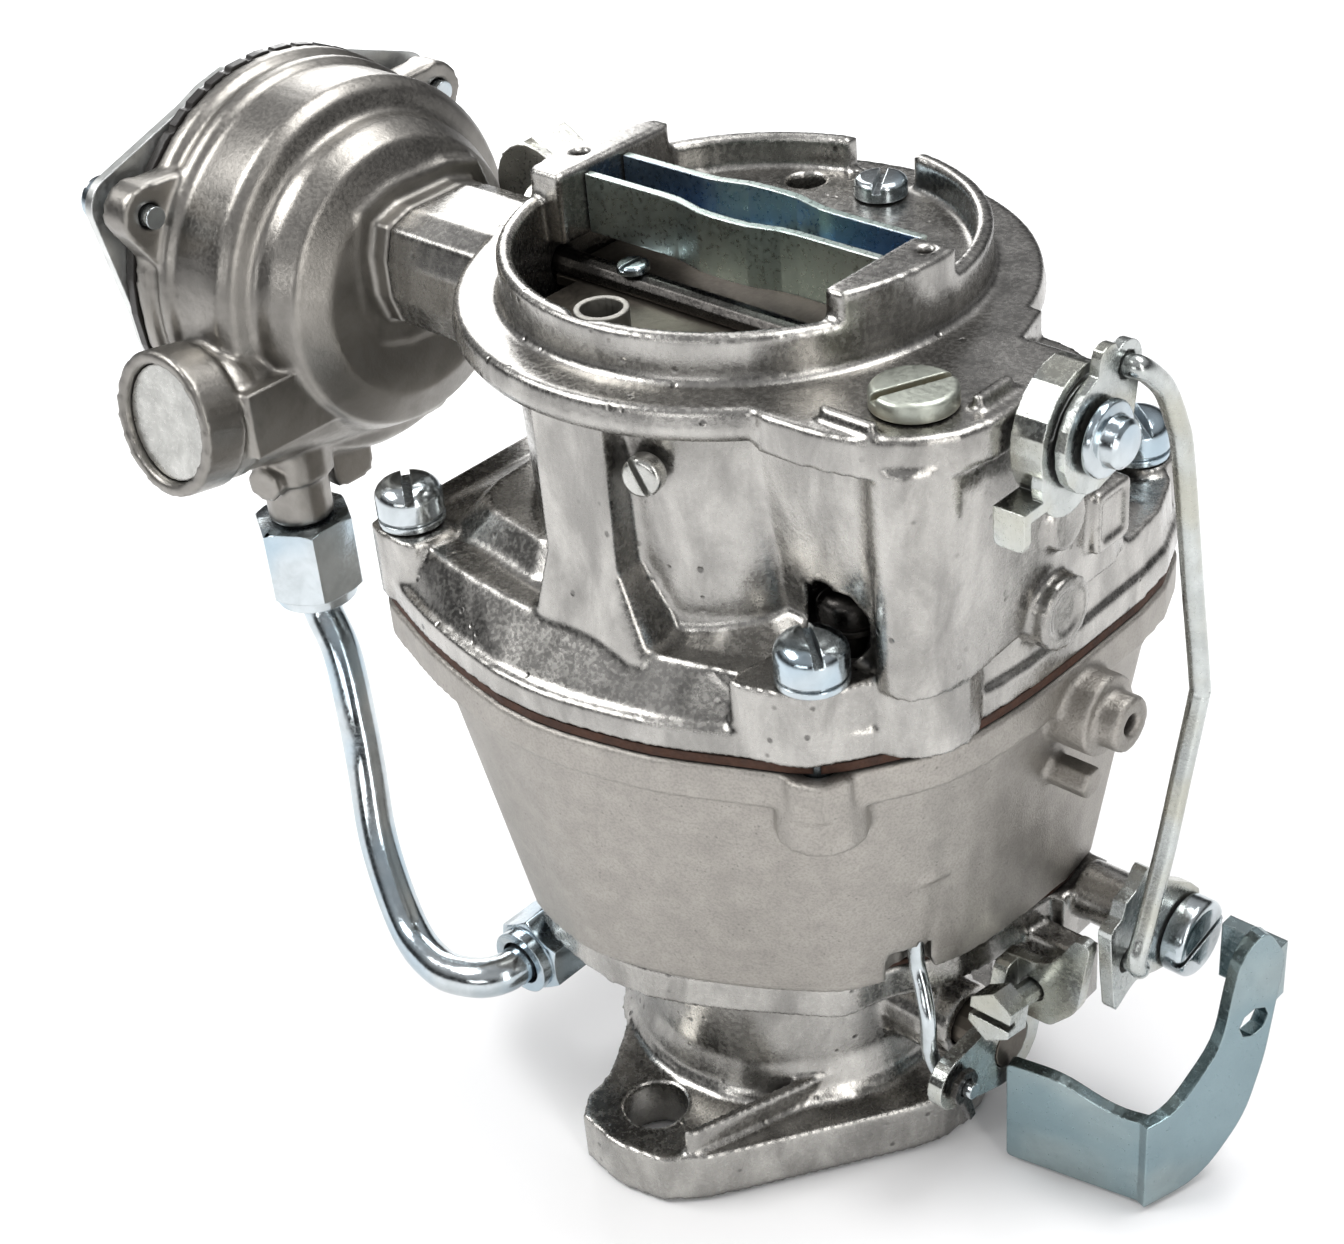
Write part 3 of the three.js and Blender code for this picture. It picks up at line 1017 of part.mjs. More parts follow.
// ---- Idle mixture screw, its spring and the two screws under the bowl ----
add("idle_mixture_screw", join(
  slottedHead(4.4, 4.6, [-12, 42.4, 20], [0, 1, 0], { slot: 1.2 }),
  rod(2.2, [-12, 22, 20], [-12, 43, 20], 8),
), BRASS);
add("idle_mixture_spring", spring([-12, 32.4, 20], [0, 1, 0], 3.3, 0.6, 4, 2.2), ZINC);
for (const [side, place] of Object.entries({ left: [-20, 31], right: [30, 32] })) {
  const head = slottedHead(3.9, 3.2, [...place, 33.1], [0, 0, -1], { slot: 1.1 });
  add(`body_screw_${side}`, join(head, rod(1.9, [...place, 32], [...place, 38.4], 8)), ZINC);
}

export default carburetor;
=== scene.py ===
"""Looks for a single-barrel carburettor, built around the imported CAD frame. Metres, +Z up."""

import json
import math

import bpy
import numpy as np
from mathutils import Matrix, Vector

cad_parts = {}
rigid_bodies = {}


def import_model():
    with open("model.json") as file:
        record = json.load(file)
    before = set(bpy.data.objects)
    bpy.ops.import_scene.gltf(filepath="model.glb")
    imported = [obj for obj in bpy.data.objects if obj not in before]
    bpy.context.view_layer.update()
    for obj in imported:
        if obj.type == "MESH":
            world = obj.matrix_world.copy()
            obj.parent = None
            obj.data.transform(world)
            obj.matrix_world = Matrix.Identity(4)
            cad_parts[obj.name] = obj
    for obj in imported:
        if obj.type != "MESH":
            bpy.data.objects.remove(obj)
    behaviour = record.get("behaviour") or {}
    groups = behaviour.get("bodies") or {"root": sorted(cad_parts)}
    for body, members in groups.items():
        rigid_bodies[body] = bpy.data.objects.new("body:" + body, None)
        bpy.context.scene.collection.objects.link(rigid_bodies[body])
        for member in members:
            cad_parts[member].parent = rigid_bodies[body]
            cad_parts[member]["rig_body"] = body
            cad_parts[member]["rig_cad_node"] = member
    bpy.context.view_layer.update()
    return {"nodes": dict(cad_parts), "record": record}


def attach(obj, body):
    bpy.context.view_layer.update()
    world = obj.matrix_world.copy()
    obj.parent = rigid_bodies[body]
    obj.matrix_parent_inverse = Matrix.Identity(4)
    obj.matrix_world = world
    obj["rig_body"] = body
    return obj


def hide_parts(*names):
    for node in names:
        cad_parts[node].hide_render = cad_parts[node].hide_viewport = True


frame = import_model()
NODES = frame["nodes"]
SLOT_OF = {row["node"]: row["material_slot"] for row in frame["record"]["subparts"]}
BODY_OF = {
    node: body
    for body, members in frame["record"]["behaviour"]["bodies"].items()
    for node in members
}
MM = 0.001
UP, DOWN, RIGHT, LEFT, BACK = [0, 0, 1], [0, 0, -1], [1, 0, 0], [-1, 0, 0], [0, 1, 0]
# How far two faces may turn at an edge that is still shaded smooth, in degrees.
SMOOTH_CAD, SMOOTH_WIRE, SMOOTH_TURNED = 32, 50, 35
scene = bpy.context.scene


# ---------------------------------------------------------------- materials
class Graph:
    """A material's node tree, with short ways to add and link nodes."""

    def __init__(self, name):
        self.material = bpy.data.materials.new(name)
        self.material.use_nodes = True
        self.tree = self.material.node_tree
        self.shader = self.tree.nodes["Principled BSDF"]
        self.place = self.add("ShaderNodeTexCoord").outputs["Object"]

    def add(self, kind, **settings):
        node = self.tree.nodes.new(kind)
        for key, value in settings.items():
            setattr(node, key, value)
        return node

    def put(self, socket, value):
        if isinstance(value, bpy.types.NodeSocket):
            self.tree.links.new(value, socket)
        elif value is not None:
            socket.default_value = value

    def stretched(self, stretch):
        node = self.add("ShaderNodeMapping")
        self.put(node.inputs["Vector"], self.place)
        node.inputs["Scale"].default_value = stretch
        return node.outputs["Vector"]

    def noise(self, scale, detail=4.0, roughness=0.55, stretch=None, distortion=0.0):
        node = self.add("ShaderNodeTexNoise")
        self.put(node.inputs["Vector"], self.stretched(stretch) if stretch else self.place)
        node.inputs["Scale"].default_value = scale
        node.inputs["Detail"].default_value = detail
        node.inputs["Roughness"].default_value = roughness
        node.inputs["Distortion"].default_value = distortion
        return node.outputs["Fac"]

    def cells(self, scale):
        node = self.add("ShaderNodeTexVoronoi")
        self.put(node.inputs["Vector"], self.place)
        node.inputs["Scale"].default_value = scale
        return node.outputs["Distance"]

    def ramp(self, value, low, high, out_low=0.0, out_high=1.0):
        node = self.add("ShaderNodeMapRange", interpolation_type="SMOOTHSTEP")
        for key, number in (("Value", value), ("From Min", low), ("From Max", high)):
            self.put(node.inputs[key], number)
        node.inputs["To Min"].default_value = out_low
        node.inputs["To Max"].default_value = out_high
        return node.outputs["Result"]

    def math(self, operation, a, b=None):
        node = self.add("ShaderNodeMath", operation=operation)
        self.put(node.inputs[0], a)
        self.put(node.inputs[1], b)
        return node.outputs[0]

    def mix(self, share, a, b, blend="MIX"):
        node = self.add("ShaderNodeMix", data_type="RGBA", blend_type=blend)
        self.put(node.inputs["Factor"], share)
        self.put(node.inputs[6], a)
        self.put(node.inputs[7], b)
        return node.outputs[2]

    def bump(self, height, strength, distance, normal=None):
        node = self.add("ShaderNodeBump")
        node.inputs["Strength"].default_value = strength
        node.inputs["Distance"].default_value = distance
        self.put(node.inputs["Height"], height)
        self.put(node.inputs["Normal"], normal)
        return node.outputs["Normal"]


def shade(color, gain):
    return (*[min(1.0, c * gain) for c in color], 1.0)


def metal(
    name, color, rough, *, metallic=1.0, mottle=0.2, mottle_scale=160.0, stretch=None, grain=0.15,
    grain_scale=1400.0, pits=0.0, pit_scale=420.0, grime_and_shade=0.7, grime_and_shade_color=(0.02, 0.017, 0.014), edge=0.35,
    round_mm=0.35, tint=None, tint_scale=60.0, wave=0.0, speckle=0.0,
):
    """Worn metal: mottled colour, fine grain, pits, grime and painted shade darkening the corners, and
    bright edges.
    """
    g = Graph(name)
    broad = g.noise(mottle_scale, 6.0, 0.6, stretch, 0.4)
    fine = g.noise(grain_scale, 3.0, 0.6)
    base = g.mix(g.ramp(broad, 0.3, 0.7), shade(color, 1.0 - mottle), shade(color, 1.0 + mottle))
    if speckle:
        base = g.mix(g.ramp(fine, 0.32, 0.62, speckle, 0.0), base, shade(color, 0.35))
    if tint:
        patches = g.ramp(g.noise(tint_scale, 2.0, 0.5), 0.42, 0.62)
        base = g.mix(g.math("MULTIPLY", patches, 0.65), base, (*tint, 1.0))
    bevel = g.add("ShaderNodeBevel", samples=4)
    bevel.inputs["Radius"].default_value = round_mm * MM
    face = g.add("ShaderNodeNewGeometry").outputs["Normal"]
    turn = g.add("ShaderNodeVectorMath", operation="DOT_PRODUCT")
    g.put(turn.inputs[0], bevel.outputs["Normal"])
    g.put(turn.inputs[1], face)
    worn = g.math("MULTIPLY", g.ramp(turn.outputs["Value"], 0.99, 0.86), g.ramp(broad, 0.35, 0.6, 0.3, 1.0))
    # Painted shade and grime: ambient occlusion darkens corners and recesses towards the grime colour, where
    # shade falls; the same mask also roughens them.
    corner = g.add("ShaderNodeAmbientOcclusion", samples=4, only_local=False)
    corner.inputs["Distance"].default_value = 5 * MM
    corner_grime_and_shade = g.math("MULTIPLY", g.ramp(corner.outputs["AO"], 0.75, 0.2), g.ramp(broad, 0.25, 0.6, 0.45, 1.0))
    base = g.mix(g.math("MULTIPLY", corner_grime_and_shade, grime_and_shade), base, (*grime_and_shade_color, 1.0))
    base = g.mix(g.math("MULTIPLY", worn, edge), base, shade(color, 1.7))
    satin = g.ramp(fine, 0.3, 0.7, rough - 0.05, rough + 0.08)
    roughness = g.math("ADD", satin, g.math("MULTIPLY", corner_grime_and_shade, 0.25))
    height = g.math("MULTIPLY", fine, grain)
    if wave:
        height = g.math("ADD", height, g.math("MULTIPLY", g.noise(mottle_scale * 1.6, 2.0, 0.5), wave))
    if pits:
        hole = g.ramp(g.cells(pit_scale), 0.2, 0.08)
        hole = g.math("MULTIPLY", hole, g.ramp(g.noise(pit_scale * 0.25, 2.0, 0.5), 0.5, 0.62))
        base = g.mix(g.math("MULTIPLY", hole, pits), base, shade(color, 0.22))
        height = g.math("SUBTRACT", height, g.math("MULTIPLY", hole, 1.2))
    g.put(g.shader.inputs["Base Color"], base)
    g.put(g.shader.inputs["Roughness"], roughness)
    g.put(g.shader.inputs["Normal"], g.bump(height, 0.35, 0.25 * MM, bevel.outputs["Normal"]))
    g.shader.inputs["Metallic"].default_value = metallic
    return g.material


def two_tone(material, low, high, color):
    """Gives a material another colour between two places along Y, in mm."""
    tree = material.node_tree
    shader = tree.nodes["Principled BSDF"]
    link = shader.inputs["Base Color"].links[0]
    split = tree.nodes.new("ShaderNodeSeparateXYZ")
    tree.links.new(tree.nodes["Texture Coordinate"].outputs["Object"], split.inputs[0])
    blend = 0.1
    band = []
    for edge, way in ((low, 1), (high, -1)):
        step = tree.nodes.new("ShaderNodeMapRange")
        tree.links.new(split.outputs["Y"], step.inputs["Value"])
        step.inputs["From Min"].default_value = (edge - blend * way) * MM
        step.inputs["From Max"].default_value = (edge + blend * way) * MM
        band.append(step.outputs["Result"])
    both = tree.nodes.new("ShaderNodeMath")
    both.operation = "MULTIPLY"
    tree.links.new(band[0], both.inputs[0])
    tree.links.new(band[1], both.inputs[1])
    mix = tree.nodes.new("ShaderNodeMix")
    mix.data_type = "RGBA"
    tree.links.new(both.outputs[0], mix.inputs["Factor"])
    tree.links.new(link.from_socket, mix.inputs[6])
    mix.inputs[7].default_value = (*color, 1.0)
    tree.links.new(mix.outputs[2], shader.inputs["Base Color"])
    return material


def linear(r, g, b):
    """sRGB 0 to 255 as linear colour."""
    return tuple(((c / 255 + 0.055) / 1.055) ** 2.4 if c > 10 else c / 255 / 12.92 for c in (r, g, b))


MATERIALS = {
    "polished_casting": metal(
        "polished_casting", linear(166, 164, 160), 0.24, speckle=0.14, mottle=0.3, mottle_scale=130.0,
        stretch=(1.0, 1.0, 0.45), pits=0.75, pit_scale=330.0, grain=0.3, grime_and_shade=0.85, edge=0.6,
        round_mm=0.6, wave=0.5,
    ),
    "blasted_casting": metal(
        "blasted_casting", linear(168, 164, 158), 0.45, mottle=0.08, mottle_scale=240.0, speckle=0.35,
        grain=1.3, grain_scale=2600.0, pits=0.3, pit_scale=900.0, grime_and_shade=0.7, edge=0.4, round_mm=0.6,
    ),
    "satin_casting": metal(
        "satin_casting", linear(142, 139, 134), 0.34, speckle=0.03, mottle=0.16, mottle_scale=110.0,
        grain=0.35, grain_scale=1800.0, grime_and_shade=0.6, edge=0.4, round_mm=0.6, wave=0.1,
    ),
    "bright_zinc": metal(
        "bright_zinc", linear(190, 197, 200), 0.15, mottle=0.1, mottle_scale=300.0, grain=0.2, grime_and_shade=0.6,
        tint=linear(160, 182, 196), edge=0.3, round_mm=0.3,
    ),
    "blue_zinc": metal(
        "blue_zinc", linear(152, 166, 168), 0.2, mottle=0.12, mottle_scale=90.0, grain=0.3, grime_and_shade=0.5,
        tint=linear(118, 142, 150), tint_scale=45.0, edge=0.5, round_mm=0.4,
    ),
    "yellow_zinc": metal(
        "yellow_zinc", linear(184, 188, 186), 0.22, mottle=0.12, mottle_scale=200.0, grain=0.25, grime_and_shade=0.6,
        tint=linear(176, 174, 160), tint_scale=90.0, edge=0.35, round_mm=0.3,
    ),
    "black_steel": metal(
        "black_steel", linear(66, 64, 62), 0.26, mottle=0.2, mottle_scale=300.0, grain=0.3, grime_and_shade=0.5,
        edge=0.9,
    ),
    "grey_steel": metal(
        "grey_steel", linear(104, 98, 90), 0.4, mottle=0.2, mottle_scale=160.0, grain=0.5, grime_and_shade=0.6,
        edge=0.5,
    ),
    "brass": metal("brass", linear(196, 164, 104), 0.25, mottle=0.12, grain=0.2, grime_and_shade=0.6, edge=0.3),
    "alloy": metal(
        "alloy", linear(190, 190, 186), 0.3, mottle=0.16, mottle_scale=220.0, grain=0.4, grime_and_shade=0.5,
    ),
    "gasket_paper": metal(
        "gasket_paper", linear(62, 36, 22), 0.8, metallic=0.0, mottle=0.3, mottle_scale=500.0, grain=1.2,
        grain_scale=2200.0, grime_and_shade=0.6, edge=0.1,
    ),
    "bakelite": metal(
        "bakelite", linear(38, 35, 33), 0.35, metallic=0.0, mottle=0.2, grain=0.4, grime_and_shade=0.4, edge=0.3,
    ),
}

# Finishes that one piece alone has, where it differs from its neighbours of the same metal.
FINISH_OF = {
    "stud_bridge": two_tone(metal(
        "bridge_zinc", linear(198, 210, 204), 0.3, mottle=0.06, mottle_scale=200.0, grain=0.08,
        grime_and_shade=0.25, tint=linear(176, 196, 190), edge=0.5,
    ), -1.8, 4.8, linear(62, 98, 142)),
    "choke_retainer": metal(
        "retainer_zinc", linear(206, 208, 206), 0.34, mottle=0.1, mottle_scale=260.0, grain=0.3, grime_and_shade=0.3,
        edge=0.6,
    ),
    "vent_tube": metal(
        "vent_steel", linear(148, 146, 140), 0.45, mottle=0.12, mottle_scale=300.0, grain=0.3, grime_and_shade=0.5,
        edge=0.3,
    ),
    "pump_well_plug": metal(
        "plug_alloy", linear(178, 182, 172), 0.38, mottle=0.12, mottle_scale=320.0, grain=0.5,
        grime_and_shade=0.8, grime_and_shade_color=(0.16, 0.11, 0.05), edge=0.4,
    ),
    "horn_side_screw": metal(
        "side_screw_zinc", linear(186, 186, 182), 0.22, mottle=0.15, grain=0.3, grime_and_shade=0.4, edge=0.5,
    ),
    "fuel_inlet_fitting": metal(
        "fitting_zinc", linear(198, 198, 192), 0.3, mottle=0.12, mottle_scale=240.0, grain=0.3, grime_and_shade=0.4,
        edge=0.4,
    ),
}

for name, piece in NODES.items():
    piece.data.materials.clear()
    piece.data.materials.append(FINISH_OF.get(name) or MATERIALS[SLOT_OF[name]])
    for face in piece.data.polygons:
        face.use_smooth = True
    piece.data.set_sharp_from_angle(angle=math.radians(SMOOTH_CAD))


# ---------------------------------------------------------------- pieces that stand for CAD nodes
def settle(piece, node, *others):
    """Gives a new piece its node's finish (its own, or else its slot's material) and body, and hides the
    node.
    """
    if not piece.data.materials:
        piece.data.materials.append(FINISH_OF.get(node) or MATERIALS[SLOT_OF[node]])
    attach(piece, BODY_OF[node])
    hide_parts(node, *others)
    return piece


def mesh_object(name, vertices, faces):
    mesh = bpy.data.meshes.new(name)
    mesh.from_pydata(vertices, [], faces)
    mesh.validate()
    piece = bpy.data.objects.new(name, mesh)
    scene.collection.objects.link(piece)
    return piece


def rounding(places, origin, axis, sides, profile, reach=0.3):
    """Turns a faceted round surface true: profile holds [radius, height] pairs in mm."""
    axis = np.array(axis, float) / np.linalg.norm(axis)
    side = np.array([1.0, 0.0, 0.0]) if abs(axis[0]) < 0.9 else np.array([0.0, 1.0, 0.0])
    side = side - axis * (side @ axis)
    side /= np.linalg.norm(side)
    other = np.cross(axis, side)
    apart = places - np.array(origin, float)
    height = apart @ axis
    u, v = apart @ side, apart @ other
    radius = np.hypot(u, v)
    step = 2 * math.pi / sides
    off = np.mod(np.arctan2(v, u), step) - step / 2
    gain = np.cos(off) / math.cos(step / 2)
    near = np.full(len(places), 1e9)
    for (r0, h0), (r1, h1) in zip(profile, profile[1:]):
        dr, dh = r1 - r0, h1 - h0
        along = np.clip(((radius * gain - r0) * dr + (height - h0) * dh) / (dr * dr + dh * dh + 1e-9), 0, 1)
        near = np.minimum(near, np.hypot(radius * gain - r0 - along * dr, height - h0 - along * dh))
    weight = np.clip((reach - near) / (0.4 * reach), 0, 1)
    gain = 1 + (gain - 1) * weight
    grown = np.outer(u * gain, side) + np.outer(v * gain, other) + np.outer(height, axis)
    return grown + np.array(origin, float)


def casting(node, voxel=0.5, passes=4, rounds=()):
    """A CAD node remeshed fine, with its edges softened as a die casting's are."""
    raw = NODES[node].copy()
    raw.data = NODES[node].data.copy()
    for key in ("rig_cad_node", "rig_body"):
        if key in raw:
            del raw[key]
    raw.parent = None
    scene.collection.objects.link(raw)
    remesh = raw.modifiers.new("remesh", "REMESH")
    remesh.mode = "VOXEL"
    remesh.voxel_size = voxel * MM
    soften = raw.modifiers.new("soften", "SMOOTH")
    soften.factor = 0.5
    soften.iterations = passes
    fine = bpy.data.meshes.new_from_object(raw.evaluated_get(bpy.context.evaluated_depsgraph_get()))
    bpy.data.objects.remove(raw)
    places = np.empty(len(fine.vertices) * 3)
    fine.vertices.foreach_get("co", places)
    places = places.reshape(-1, 3) / MM
    for row in rounds:
        places = rounding(places, *row)
    fine.vertices.foreach_set("co", (places * MM).ravel())
    fine.update()
    fine.shade_smooth()
    fine.materials.clear()
    piece = bpy.data.objects.new(node + "_cast", fine)
    scene.collection.objects.link(piece)
    return settle(piece, node)


CHOKE_AXIS = [-89, -8, 124.7]
CYLINDER_SLOPE = math.radians(10)
CYLINDER_FRONT = [-75, -48.3, 114.4]
CYLINDER_WAY = [0, math.cos(CYLINDER_SLOPE), -math.sin(CYLINDER_SLOPE)]

# Each row is a round surface of the CAD: a point on its axis, its direction, its sides and its profile.
casting("air_horn", 0.5, 3, [
    ([0, 0, 0], UP, 44, [
        [33, 98], [31.8, 104], [32.6, 128], [34, 134], [39.4, 134.6], [40.4, 136.4], [39.8, 139.4],
        [33.95, 139.4], [33.35, 140.1], [33.35, 149.7],
    ]),
    ([0, 0, 0], UP, 44, [[31.1, 106], [31.1, 149.7]]),
])
casting("float_bowl", 0.5, 4)
casting("throttle_body", 0.5, 3, [
    ([0, 0, 0], UP, 24, [[29, 9], [26.5, 11], [25.2, 16], [25, 34]]),
    ([0, 0, 0], UP, 36, [[19.85, 0], [19.85, 40]]),
])
casting("choke_housing", 0.5, 4, [
    (CHOKE_AXIS, RIGHT, 36, [
        [31, 0], [31, 2.6], [29.6, 3.6], [30.4, 4.8], [30.4, 6.8], [29.4, 7.6], [29.6, 17.4], [28.2, 19.2],
        [24.8, 20.4], [24.4, 23], [22.4, 26.6], [17, 29],
    ]),
    (CYLINDER_FRONT, CYLINDER_WAY, 28, [[10.3, 7], [10.3, 50]]),
    (CYLINDER_FRONT, CYLINDER_WAY, 32, [[11.2, 0], [11.2, 7]]),
])


def smooth_route(points, per=8):
    """The smooth curve through the points, as a list of points."""
    rows = [np.array(p, float) for p in points]
    rows = [2 * rows[0] - rows[1], *rows, 2 * rows[-1] - rows[-2]]
    route = []
    for i in range(1, len(rows) - 2):
        a, b, c, d = rows[i - 1: i + 3]
        for k in range(per):
            t = k / per
            bend = (2 * a - 5 * b + 4 * c - d) * t**2 + (3 * b - a - 3 * c + d) * t**3
            route.append(0.5 * (2 * b + (c - a) * t + bend))
    return [*route, rows[-2]]


def wire(node, points, radius, per=8, around=8):
    """A round wire or tube along a smooth curve, as a mesh."""
    curve = bpy.data.curves.new(node + "_wire", "CURVE")
    curve.dimensions = "3D"
    curve.bevel_depth = radius * MM
    curve.bevel_resolution = around
    curve.use_fill_caps = True
    route = smooth_route(points, per)
    spline = curve.splines.new("POLY")
    spline.points.add(len(route) - 1)
    for place, p in zip(spline.points, route):
        place.co = (*[c * MM for c in p], 1)
    holder = bpy.data.objects.new(node + "_wire", curve)
    scene.collection.objects.link(holder)
    mesh = bpy.data.meshes.new_from_object(holder.evaluated_get(bpy.context.evaluated_depsgraph_get()))
    bpy.data.objects.remove(holder)
    mesh.shade_smooth()
    mesh.set_sharp_from_angle(angle=math.radians(SMOOTH_WIRE))
    mesh.materials.clear()
    piece = bpy.data.objects.new(node + "_wire", mesh)
    scene.collection.objects.link(piece)
    return settle(piece, node)


TUBE_X, TUBE_Y = -75, -26.6
wire("choke_tube", [
    [TUBE_X, TUBE_Y, 84], [TUBE_X, TUBE_Y, 78], [TUBE_X, TUBE_Y, 73.4], [-74, -26.8, 70], [-69.5, -28, 64.5],
    [-65.4, -30.4, 55], [-62.6, -32.4, 46.6], [-57, -36.6, 35.4], [-47, -41, 25.8], [-37, -43.6, 24.6],
    [-30, -42.6, 25.4], [-26.6, -39.6, 25.9], [-26, -35, 26], [-26, -29, 26],
], 3.2)
ROD_X = 62
wire("choke_rod", [
    [57.6, 0.6, 142], [60.6, 0.6, 142], [61.8, 0.9, 141.9], [ROD_X, 3.2, 140], [ROD_X, 6.4, 136.6],
    [ROD_X, 9.4, 131], [ROD_X, 11.4, 125], [ROD_X, 15.2, 104.6], [ROD_X, 18.6, 86.4], [ROD_X, 18.6, 83.4],
    [ROD_X, 15.2, 72.2], [ROD_X, 11.7, 60.8], [ROD_X, 7.2, 49], [ROD_X, 5.4, 44.6], [ROD_X, 6.4, 42.2],
    [60.8, 7.3, 41.7], [59.4, 7.5, 41.7], [55.6, 7.5, 41.7],
], 1.5)
wire("pump_link", [
    [35.2, -11.5, 48.6], [35.2, -11.5, 42], [36.8, -12.3, 38.2], [38.7, -13.6, 34], [39.2, -14, 28.6],
    [39.9, -13.5, 25], [42, -13.5, 24], [47, -13.5, 24],
], 1.25)


# ---------------------------------------------------------------- screws, nuts and turned pieces
def raw_mesh(vertices, faces):
    mesh = bpy.data.meshes.new("raw")
    mesh.from_pydata([Vector(v) * MM for v in vertices], [], faces)
    return mesh


def lathe(profile, sides=64):
    """A closed turned mesh along +Z from [radius, height] pairs, both ends on the axis."""
    rings = profile[1:-1]
    vertices = [(0, 0, profile[0][1])]
    for radius, height in rings:
        for k in range(sides):
            angle = 2 * math.pi * k / sides
            vertices.append((radius * math.cos(angle), radius * math.sin(angle), height))
    vertices.append((0, 0, profile[-1][1]))
    last = len(vertices) - 1
    faces = [(0, 1 + (k + 1) % sides, 1 + k) for k in range(sides)]
    for i in range(len(rings) - 1):
        low = 1 + i * sides
        for k in range(sides):
            n = (k + 1) % sides
            faces.append((low + k, low + n, low + sides + n, low + sides + k))
    top = 1 + (len(rings) - 1) * sides
    faces += [(top + k, top + (k + 1) % sides, last) for k in range(sides)]
    return raw_mesh(vertices, faces)


def prism(outline, low, high):
    count = len(outline)
    vertices = [(u, v, low) for u, v in outline] + [(u, v, high) for u, v in outline]
    faces = [tuple(reversed(range(count))), tuple(range(count, 2 * count))]
    faces += [(k, (k + 1) % count, count + (k + 1) % count, count + k) for k in range(count)]
    return raw_mesh(vertices, faces)


def combined(mesh, tool, operation):
    """The mesh joined with, cut by or kept inside another."""
    holder = bpy.data.objects.new("holder", mesh)
    other = bpy.data.objects.new("other", tool)
    for piece in (holder, other):
        scene.collection.objects.link(piece)
    change = holder.modifiers.new("cut", "BOOLEAN")
    change.operation = operation
    change.solver = "EXACT"
    change.object = other
    made = bpy.data.meshes.new_from_object(holder.evaluated_get(bpy.context.evaluated_depsgraph_get()))
    bpy.data.objects.remove(holder)
    bpy.data.objects.remove(other)
    return made


def placed(node, mesh, start, direction, bevel=0.15):
    """Stands a +Z mesh at a point along a direction, in place of its node."""
    turn = Vector((0, 0, 1)).rotation_difference(Vector(direction).normalized()).to_matrix().to_4x4()
    turn.translation = Vector(start) * MM
    mesh.transform(turn)
    mesh.materials.clear()
    mesh.materials.append(FINISH_OF.get(node) or MATERIALS[SLOT_OF[node]])
    mesh.shade_smooth()
    mesh.set_sharp_from_angle(angle=math.radians(SMOOTH_TURNED))
    piece = bpy.data.objects.new(node + "_fine", mesh)
    scene.collection.objects.link(piece)
    soften = piece.modifiers.new("soften", "BEVEL")
    soften.width = bevel * MM
    soften.segments = 2
    soften.limit_method = "ANGLE"
    soften.angle_limit = math.radians(40)
    return settle(piece, node)


def screw(
    node, seat, direction, radius, height, shank, crown=0.8, slot=1.3, depth=1.3, spin=0.0, washer=0.0,
):
    """A slotted head with a domed crown; shank is its [radius, length] below the seat."""
    steps = 6
    dome = []
    for k in range(steps + 1):
        lean = k * math.pi / 2 / steps
        dome.append([radius - crown * 1.3 * (1 - math.cos(lean)), height - crown * (1 - math.sin(lean))])
    foot = []
    if washer:
        neck = radius - 0.45
        foot = [[radius, washer * 0.8], [neck, washer * 0.9], [neck, washer + 0.25], [radius, washer + 0.35]]
    stem = [[0, -shank[1]], [shank[0], -shank[1]], [shank[0], 0], [radius, 0]]
    profile = [*stem, *foot, *dome, [0, height]]
    half, reach = slot / 2, radius + 0.5
    edges = [(-half, -reach), (half, -reach), (half, reach), (-half, reach)]
    groove = prism(edges, height - depth, height + 2)
    groove.transform(Matrix.Rotation(spin, 4, "Z"))
    return placed(node, combined(lathe(profile), groove, "DIFFERENCE"), seat, direction)


def nut(node, start, direction, across, height, bore, collar=None, chamfer=0.9):
    """A chamfered hexagon nut with its hole, and a round collar [radius, from, to] if it has one."""
    half = across / 2
    corners = [(half * math.sin(k * math.pi / 3), -half * math.cos(k * math.pi / 3)) for k in range(6)]
    barrel = [
        [0, 0], [half - chamfer, 0], [half, chamfer * 0.6], [half, height - chamfer * 0.6],
        [half - chamfer, height], [0, height],
    ]
    made = combined(prism(corners, 0, height), lathe(barrel), "INTERSECT")
    low, high = 0, height
    if collar:
        low, high = min(low, collar[1]), max(high, collar[2])
        wide, start_at, end_at = collar
        made = combined(made, lathe([[0, start_at], [wide, start_at], [wide, end_at], [0, end_at]]), "UNION")
    hole = lathe([[0, low - 1], [bore, low - 1], [bore, high + 1], [0, high + 1]])
    return placed(node, combined(made, hole, "DIFFERENCE"), start, direction)


for corner, (x, y) in {
    "front_left": (-40, -32), "front_right": (33.7, -29.4), "rear_right": (35.3, 43), "rear_left": (-39, 41),
}.items():
    seat = [x, y, 102.3]
    screw("cover_screw_" + corner, seat, UP, 5, 6.6, [2.2, 20], crown=2.4, depth=2, spin=0.9, washer=1.1)
seat = [30.2, -17.2, 103.3]
screw("well_screw", seat, UP, 4.5, 5.6, [2.2, 20], crown=1.9, depth=1.8, spin=-0.5, washer=1.0)
seat = [42.2, -17.8, 139.7]
screw("pump_well_plug", seat, UP, 5.6, 2.5, [3.2, 8], crown=0.7, slot=1.4, depth=1.2, spin=-0.43)
outward = [0.3, -0.95, 0.1]
screw("horn_side_screw", [10.2, -32.4, 126.6], outward, 2.8, 2.4, [1.2, 0.5], slot=1.0, depth=1.2, spin=0.8)
screw("platform_screw", [2.5, 26.5, 141.3], UP, 3.8, 2.6, [2.2, 7], crown=0.9, slot=1.2, spin=0.5)
